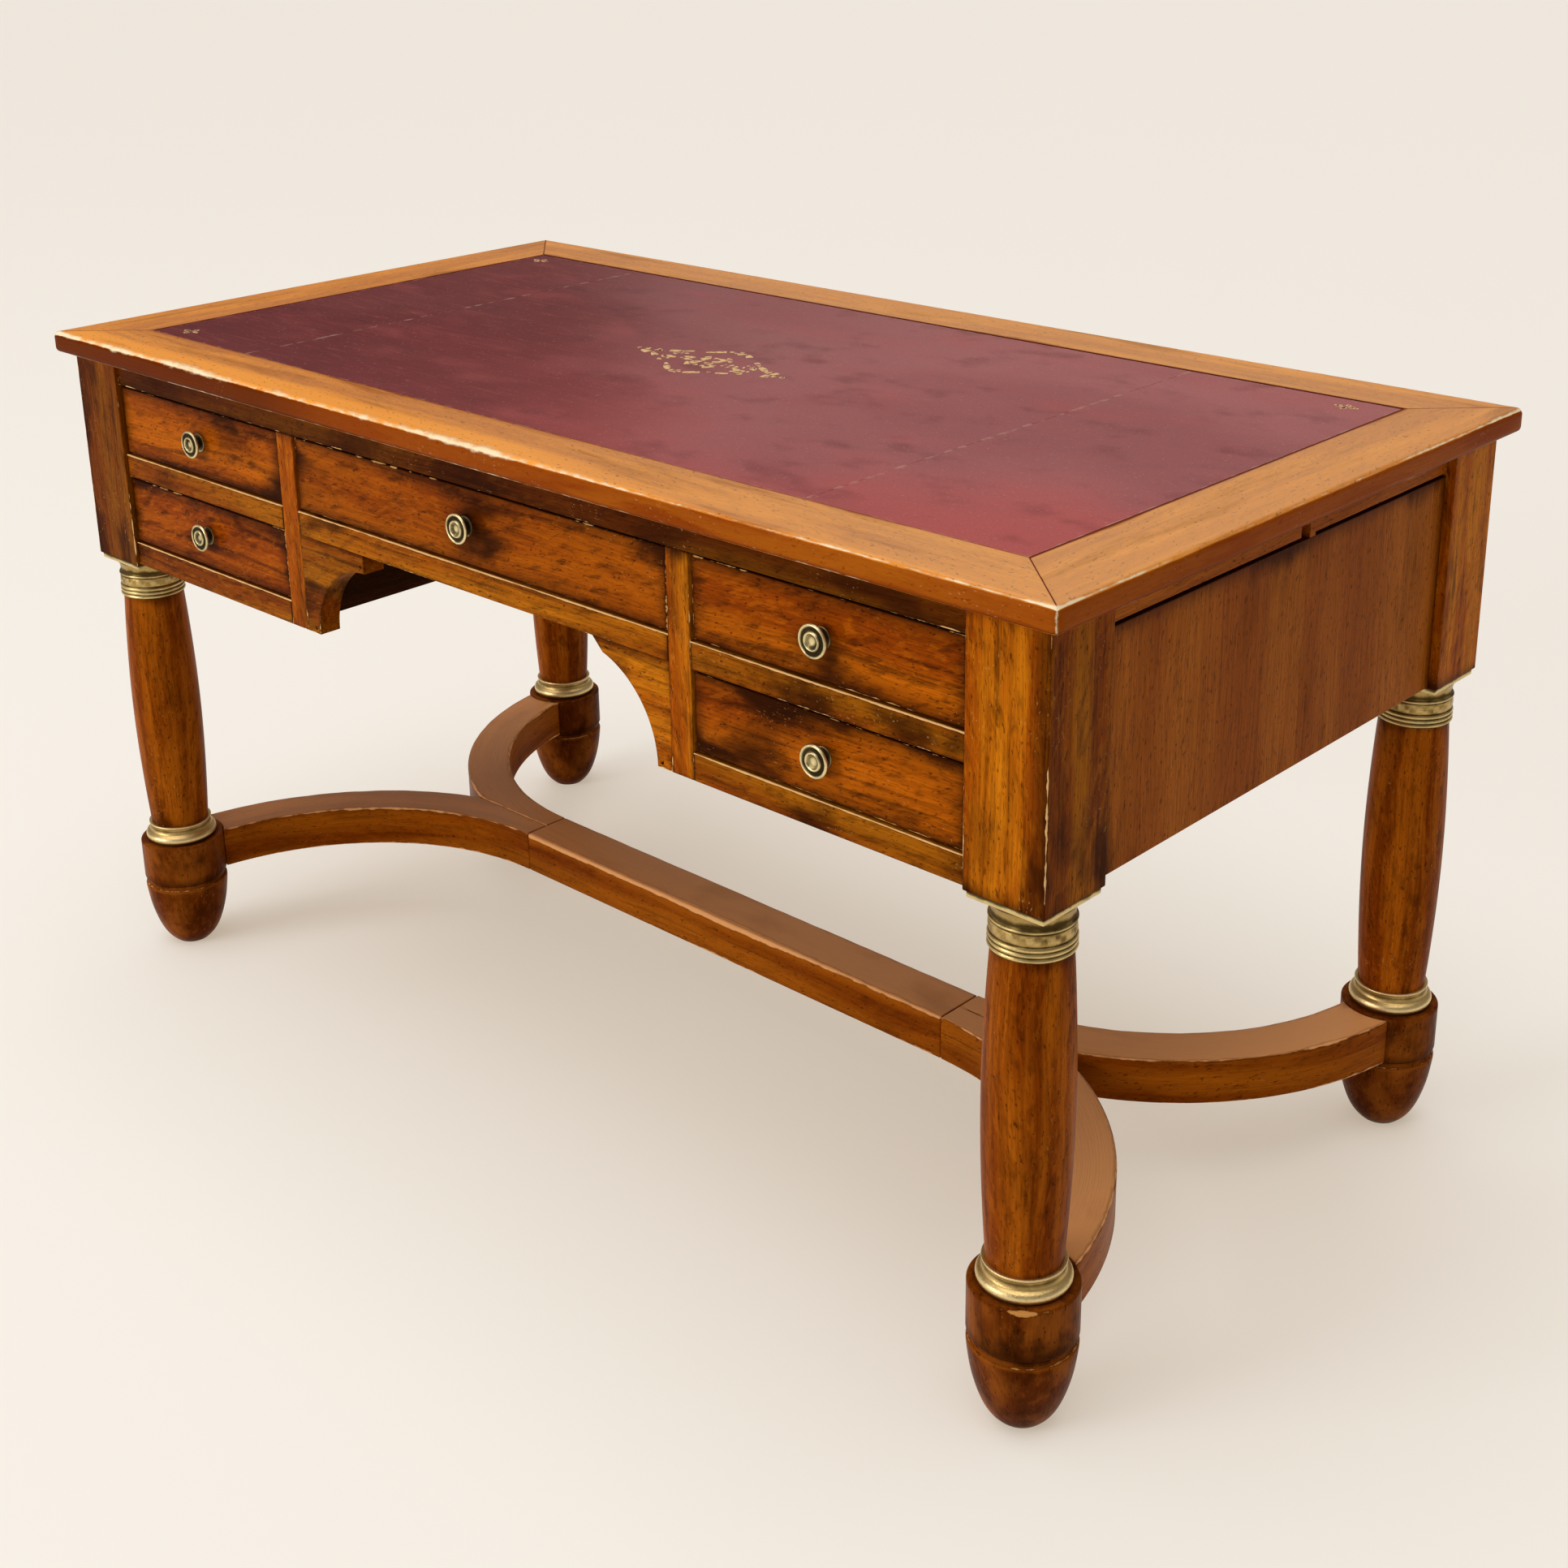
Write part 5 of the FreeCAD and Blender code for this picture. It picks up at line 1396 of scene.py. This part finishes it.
@dataclass
class Leg:
    """All four legs: brass capital, swelling column, brass base ring, round block and foot.

    Attributes:
        axis: how far each leg's axis stands from the desk's middle, along x and y.
        block_low, block_high: heights of the round block's underside and top.
        ring_high: height of the base ring's upper rim.
        capital_low, post_low: heights of the capital's underside and of the post on it.
        neck: the column's radius above the base ring.
        taper: how much wider it is under the capital.
        swell: how much wider it is half way up.
        drum: the round block's radius.
        low_arris, high_arris: radius of the block's lower and upper edge.
        carving: depth of the leaves chased in the capital's band.
        plate, plate_thick: half the width of the capital's plate, and its thickness.
    """

    axis: np.ndarray = field(default_factory=leg_axis)
    block_low: float = measured("leg_blocks", 0, 2)
    block_high: float = measured("leg_blocks", 1, 2)
    ring_high: float = measured("base_rings", 1, 2)
    capital_low: float = measured("capitals", 0, 2)
    post_low: float = measured("capitals", 1, 2)
    neck: float = 33.8
    taper: float = 0.5
    swell: float = 5.75
    drum: float = 49.5
    low_arris: float = 1.4
    high_arris: float = 2.2
    carving: float = 0.26
    plate: float = 38.5
    plate_thick: float = 6

    def build(self) -> None:
        """Makes one piece for each CAD node that holds the four legs' like pieces."""
        for name, maker, finish, slot in (
                ("capitals", self.capital, CAPITAL_BRASS, "aged_brass"),
                ("columns", self.column, COLUMN, "leg_wood"),
                ("base_rings", self.base_ring, RING_BRASS, "aged_brass"),
                ("leg_blocks", self.block, FOOT, "leg_wood"), ("feet", self.foot, FOOT, "leg_wood")):
            shells = [maker((self.axis[0] * side, self.axis[1] * end), 120 + 2 * end + side)
                      for side in (-1, 1) for end in (-1, 1)]
            new_piece(f"{name}_turned", sum(shells[1:], shells[0]), finish, slot, name)

    def column(self, centre: tuple[float, float], seed: int) -> Shell:
        """A shaft whose radius swells by half a sine from both ends.

        Args:
            centre: x and y of the leg's axis.
            seed: picks its piece of the tree.

        Returns:
            The column's shell.
        """
        height = np.linspace(self.block_high + 0.4, self.capital_low + 2, 60)
        share = np.clip((height - self.ring_high) / (self.capital_low - self.ring_high), 0, 1)
        radius = self.neck + self.taper * share + self.swell * np.sin(math.pi * share) ** 0.9
        hollow = fall(np.minimum(height - self.ring_high, self.capital_low - height), 18) * 0.8
        return turned(np.stack((radius, height), 1), centre, seed, hollow, 0 * height)

    def block(self, centre: tuple[float, float], seed: int) -> Shell:
        """A drum between two small arcs, its upper arris rubbed and, at the front right, chipped by a chair.

        Args:
            centre: x and y of the leg's axis.
            seed: picks its piece of the tree.

        Returns:
            The block's shell.
        """
        low, high, radius = self.block_low, self.block_high, self.drum
        rows = np.vstack(([[reach, low + 0.3] for reach in (20, 40, 46.5)],
                          arc_profile((radius - self.low_arris, low + self.low_arris + 0.3), self.low_arris,
                                      -90, 0, 5),
                          [[radius, z] for z in np.linspace(low + 4, high - 5, 8)],
                          arc_profile((radius - self.high_arris, high - self.high_arris), self.high_arris,
                                      0, 90, 7),
                          [[reach, high] for reach in (45.5, 42.8, 20)]))
        from_top = np.hypot(radius - rows[:, 0], high - rows[:, 1])
        from_low = np.hypot(radius - rows[:, 0], rows[:, 1] - low)
        inner = np.clip((44.5 - rows[:, 0]) / 2, 0, 1) * (rows[:, 1] > high - 1)
        hollow = np.maximum(inner, fall(from_low, 9) * 0.5 + 0.62)
        shell = turned(rows, centre, seed, hollow, np.clip(0.84 - from_top / 10, 0, 1))
        if centre[0] > 0 > centre[1]:
            spot = np.array((centre[0] + 0.58 * radius, centre[1] - 0.81 * radius, high))
            shell.arris += 0.46 * np.exp(-(((shell.points - spot) / (11, 9, 9)) ** 2).sum(axis=1))
        return shell

    def foot(self, centre: tuple[float, float], seed: int) -> Shell:
        """A tapering foot: a full curve from the sole, a rolled shoulder and a groove under the block.

        Args:
            centre: x and y of the leg's axis.
            seed: picks its piece of the tree.

        Returns:
            The foot's shell.
        """
        belly = smooth_profile([(20.2, 0), (24.5, 4), (29.6, 10), (34.4, 18), (38.6, 28), (42.4, 40),
                                (45.3, 52), (47.3, 64), (48.7, 75), (49.2, 80.6)], 4)
        rows = np.vstack(([[8, 0.0]], belly[:-1], arc_profile((45.8, 81), 3.4, 0, 74, 9),
                          [[46.0, 85.4], [45.4, 86.6], [45.2, 88.6], [45.4, 91.6], [20, 91.6]]))
        rows[:, 1] = np.clip(rows[:, 1], 0, None)
        # The groove and the sole are darkened, and the shoulder's ridge carries a pale line, wear and a
        # painted highlight.
        hollow = np.maximum(fall(np.abs(89 - rows[:, 1]), 4), fall(rows[:, 1], 6)) * 1.4
        ridge = fall(np.abs(83.8 - rows[:, 1]), 4)
        return turned(rows, centre, seed, hollow - ridge, ridge * 0.94)

    def base_ring(self, centre: tuple[float, float], seed: int) -> Shell:
        """A brass ring: fat roll, small bead, hollow and thin rim, closed inside round the column.

        Args:
            centre: x and y of the leg's axis.
            seed: shifts its scratches.

        Returns:
            The ring's shell.
        """
        rows = np.vstack(([[33.9, 0.1], [39.0, 0.1]], arc_profile((35.9, 6.3), 6.3, -72, 56, 18),
                          smooth_profile([(38.2, 12.2), (37.0, 13.4), (36.1, 15.6), (35.8, 18.0),
                                          (36.0, 20.0), (36.9, 21.3), (37.3, 22.2), (36.9, 23.2),
                                          (35.8, 23.5)], 4),
                          [[33.9, 23.4]]))
        height = rows[:, 1]
        hollow = np.maximum(fall(height, 3), fall(np.abs(height - 17.5), 4.5) * 0.8)
        # The roll and the rim are rubbed bright and carry painted highlights.
        ridge = np.maximum(fall(np.abs(height - 8), 4), fall(np.abs(height - 22.4), 1.4))
        shell = turned(rows + (0, self.block_high), centre, seed, hollow, ridge)
        around = np.arctan2(shell.points[:, 1] - centre[1], shell.points[:, 0] - centre[0]) * 38
        shell.grain = np.stack((shell.points[:, 2] * 3, around, shell.points[:, 2]), axis=1) + seed
        return shell

    def capital(self, centre: tuple[float, float], seed: int) -> Shell:
        """A brass capital: three reeds, a chased band, a bead, a hollow and a square plate.

        The band's relief is a row of leaves: the radius rises where the cosine of thirteen turns, drawn
        aside by the height, is over a level that falls towards both rims.

        Args:
            centre: x and y of the leg's axis.
            seed: shifts its scratches.

        Returns:
            The capital's shell.
        """
        rows = smooth_profile([
            (35.0, 0.0), (36.6, 0.7), (37.3, 2.3), (36.5, 4.1), (36.1, 4.7), (36.6, 5.3), (37.2, 7.0),
            (36.5, 8.7), (36.1, 9.3), (36.6, 9.9), (37.2, 11.6), (36.4, 13.4), (35.7, 14.2), (35.9, 15.2),
            (36.2, 17.0), (36.3, 20.0), (36.1, 23.0), (35.8, 25.2), (36.1, 26.0), (36.9, 27.2), (36.4, 28.6),
            (35.4, 29.2), (34.9, 31.5), (35.0, 35.0), (35.8, 38.8), (37.2, 41.6), (38.2, 43.2)], 4)
        height = rows[:, 1]
        hollow = sum(fall(np.abs(height - spot), width) for spot, width in (
            (0.4, 1.5), (4.7, 1.0), (9.3, 1.0), (14.4, 1.4), (25.4, 1.4), (31.5, 5.0), (42.5, 2)))
        ridge = np.maximum.reduce([fall(np.abs(height - spot), 1.8) for spot in (2.3, 7.0, 11.6, 27.2)])
        shell = turned(rows + (0, self.capital_low), centre, seed, np.clip(hollow, 0, 1), ridge, 208)
        x, y = shell.points[:, 0] - centre[0], shell.points[:, 1] - centre[1]
        turn, tall, radius = np.arctan2(y, x), shell.points[:, 2] - self.capital_low, np.hypot(x, y)
        level = (tall - 20.1) / 5.0
        band = np.clip(1 - level ** 4, 0, 1) * (np.abs(level) < 1)
        leaf = np.cos(13 * turn + 1.4 * level) + 0.55 * np.cos(26 * turn - 2.2 * level + 0.8)
        carved = np.clip((leaf - 0.5 * level ** 2) * 1.6, -1, 1) * band
        shell.points[:, 0] += x / radius * carved * self.carving
        shell.points[:, 1] += y / radius * carved * self.carving
        shell.crease = np.clip(shell.crease + np.clip(-carved, 0, 1) * 0.4, 0, 1)
        shell.arris = np.clip(shell.arris + np.clip(carved, 0, 1) * 0.3, 0, 1)
        shell.grain = np.stack((turn * 38, tall, radius), axis=1) + seed
        near, far = (np.array(centre) + side * self.plate for side in (-1, 1))
        return shell + board((*near, self.post_low - self.plate_thick), (*far, self.post_low), Run.X, 0.8,
                             seed, joints="z+", step=20, reach=4)


@dataclass
class Stretcher:
    """Straight bar and four curved arms.

    Attributes:
        arris: radius of the long edges.
        joint: half the bar's length, where the arms begin.
        half_bar: half the bar's width.
        inner: radius of an arm's inner edge.
        width: an arm's width.
        blank: length of the straight grid that is bent to an arm.
        bend: radius along which an arm's grain is measured.
        axis: how far a leg's axis stands from the desk's middle, along x and y.
        seat: radius of the round block that an arm's end fits, with a little room.
        saw_line: half the width of the joint between two arms.
        sink, waves: how deep feet have pressed the upper arrises, and the lengths of that wave.
    """

    arris: float = 2.4
    joint: float = measured("stretcher_bar", 1, 0)
    half_bar: float = measured("stretcher_bar", 1, 1)
    inner: float = 298.79
    width: float = 55
    blank: float = 395
    bend: float = 326
    axis: np.ndarray = field(default_factory=leg_axis)
    seat: float = 49.6
    saw_line: float = 0.15
    sink: float = 0.9
    waves: tuple[float, ...] = (210, 74, 33)

    def build(self) -> None:
        """Makes the bar, whose front arris feet have rubbed pale and which carries a painted highlight, most
        at its left, and the arms.
        """
        low, high = box_of("stretcher_bar")
        bar = board(low, high, Run.X, self.arris, 140, spare="x", step=16)
        beside = np.hypot(bar.points[:, 1] - low[1], high[2] - bar.points[:, 2])
        # A paler band and a pale line along the front arris are wear and a painted highlight, most at the
        # left.
        bar.crease = bar.crease - fall(beside, 16)
        bar.arris += (0.1 + 0.6 * np.clip((200 - bar.points[:, 0]) / 150, 0, 1)) * fall(beside, 14)
        self.press(bar, high[2], 7)
        new_piece("stretcher_bar_solid", bar, STRETCHER, "leg_wood", "stretcher_bar")
        for number, (side_name, side) in enumerate((("left", -1), ("right", 1))):
            for end_name, end in (("front", -1), ("rear", 1)):
                name = f"stretcher_arm_{end_name}_{side_name}"
                shell = self.arm(side, end, low[2], high[2], 159 + number + 2 * end)
                self.press(shell, high[2], 9 + number)
                new_piece(f"{name}_solid", shell, STRETCHER, "leg_wood", name)

    def press(self, shell: Shell, top: float, seed: int) -> None:
        """Rubs the upper arris down unevenly: points near it sink by an irregular wave of the grain's run.

        Args:
            shell: the bar or arm.
            top: height of its upper side.
            seed: picks the wave.
        """
        wave = 0.5 + 0.5 * ripple(shell.grain[:, 0], seed, self.waves)
        near = np.clip(shell.arris * 1.6 - 0.6, 0, 1) * fall(top - shell.points[:, 2], 6)
        shell.points[:, 2] -= near * self.sink * wave ** 2

    def arm(self, side: int, end: int, low: float, high: float, seed: int) -> Shell:
        """A board bent round a centre beside the joint.

        A grid over the run, the width and the height goes into polar coordinates. The outer radius is cut
        off at the desk's middle line, and at each radius the run ends on the round block's circle.

        Args:
            side: -1 for the left, 1 for the right.
            end: -1 for the front, 1 for the rear.
            low, high: the arm's height.
            seed: picks its piece of the tree.

        Returns:
            The arm's shell.
        """
        across = self.half_bar + self.inner
        size = np.array((self.blank, self.width, high - low))
        flat, quads = block_grid([stations(length, self.arris, step)
                                  for length, step in zip(size, (8, 7, 10))])
        gaps = np.minimum(flat, size - flat)
        gaps[:, 0] = NOWHERE
        edge = np.sort(gaps, axis=1)[:, 1]
        soft = rounded(flat, 0 * size, size, self.arris)
        reach = (self.axis[0] - self.joint, across - self.axis[1])
        far = math.hypot(*reach)
        toward = math.atan2(*reach)
        radius = self.inner + soft[:, 1]
        # The run's end depends on the radius and the cut on the angle, so each is worked out three times.
        for _ in range(3):
            stop = toward - np.arccos((radius ** 2 + far ** 2 - self.seat ** 2) / (2 * radius * far))
            angle = soft[:, 0] / self.blank * stop
            middle = across / np.cos(np.minimum(angle, 1.2)) - self.inner - self.saw_line
            cut = np.where(angle < 0.6, np.minimum(self.width, middle), self.width)
            radius = self.inner + soft[:, 1] * cut / self.width
        x, y = self.joint + radius * np.sin(angle), across - radius * np.cos(angle)
        points = np.stack((side * x, end * y, low + soft[:, 2]), axis=1)
        grain = np.stack((angle * self.bend, radius, soft[:, 2]), axis=1) + cut_from_tree(seed)
        return Shell(points, quads.tolist(), grain, fall(edge, RUB_REACH),
                     fall(self.blank - flat[:, 0], 30) * 0.7)


def main() -> None:
    """Builds the studio and every sub-assembly in order."""
    logging.basicConfig(level=logging.INFO, format="%(name)s: %(message)s")
    Studio().build()
    DeskTop().build()
    Carcass().build()
    for seed, name in enumerate(("centre", "upper_left", "lower_left", "upper_right", "lower_right"), 20):
        Drawer(name, seed).build()
    Leg().build()
    Stretcher().build()


if __name__ == "__main__":
    main()
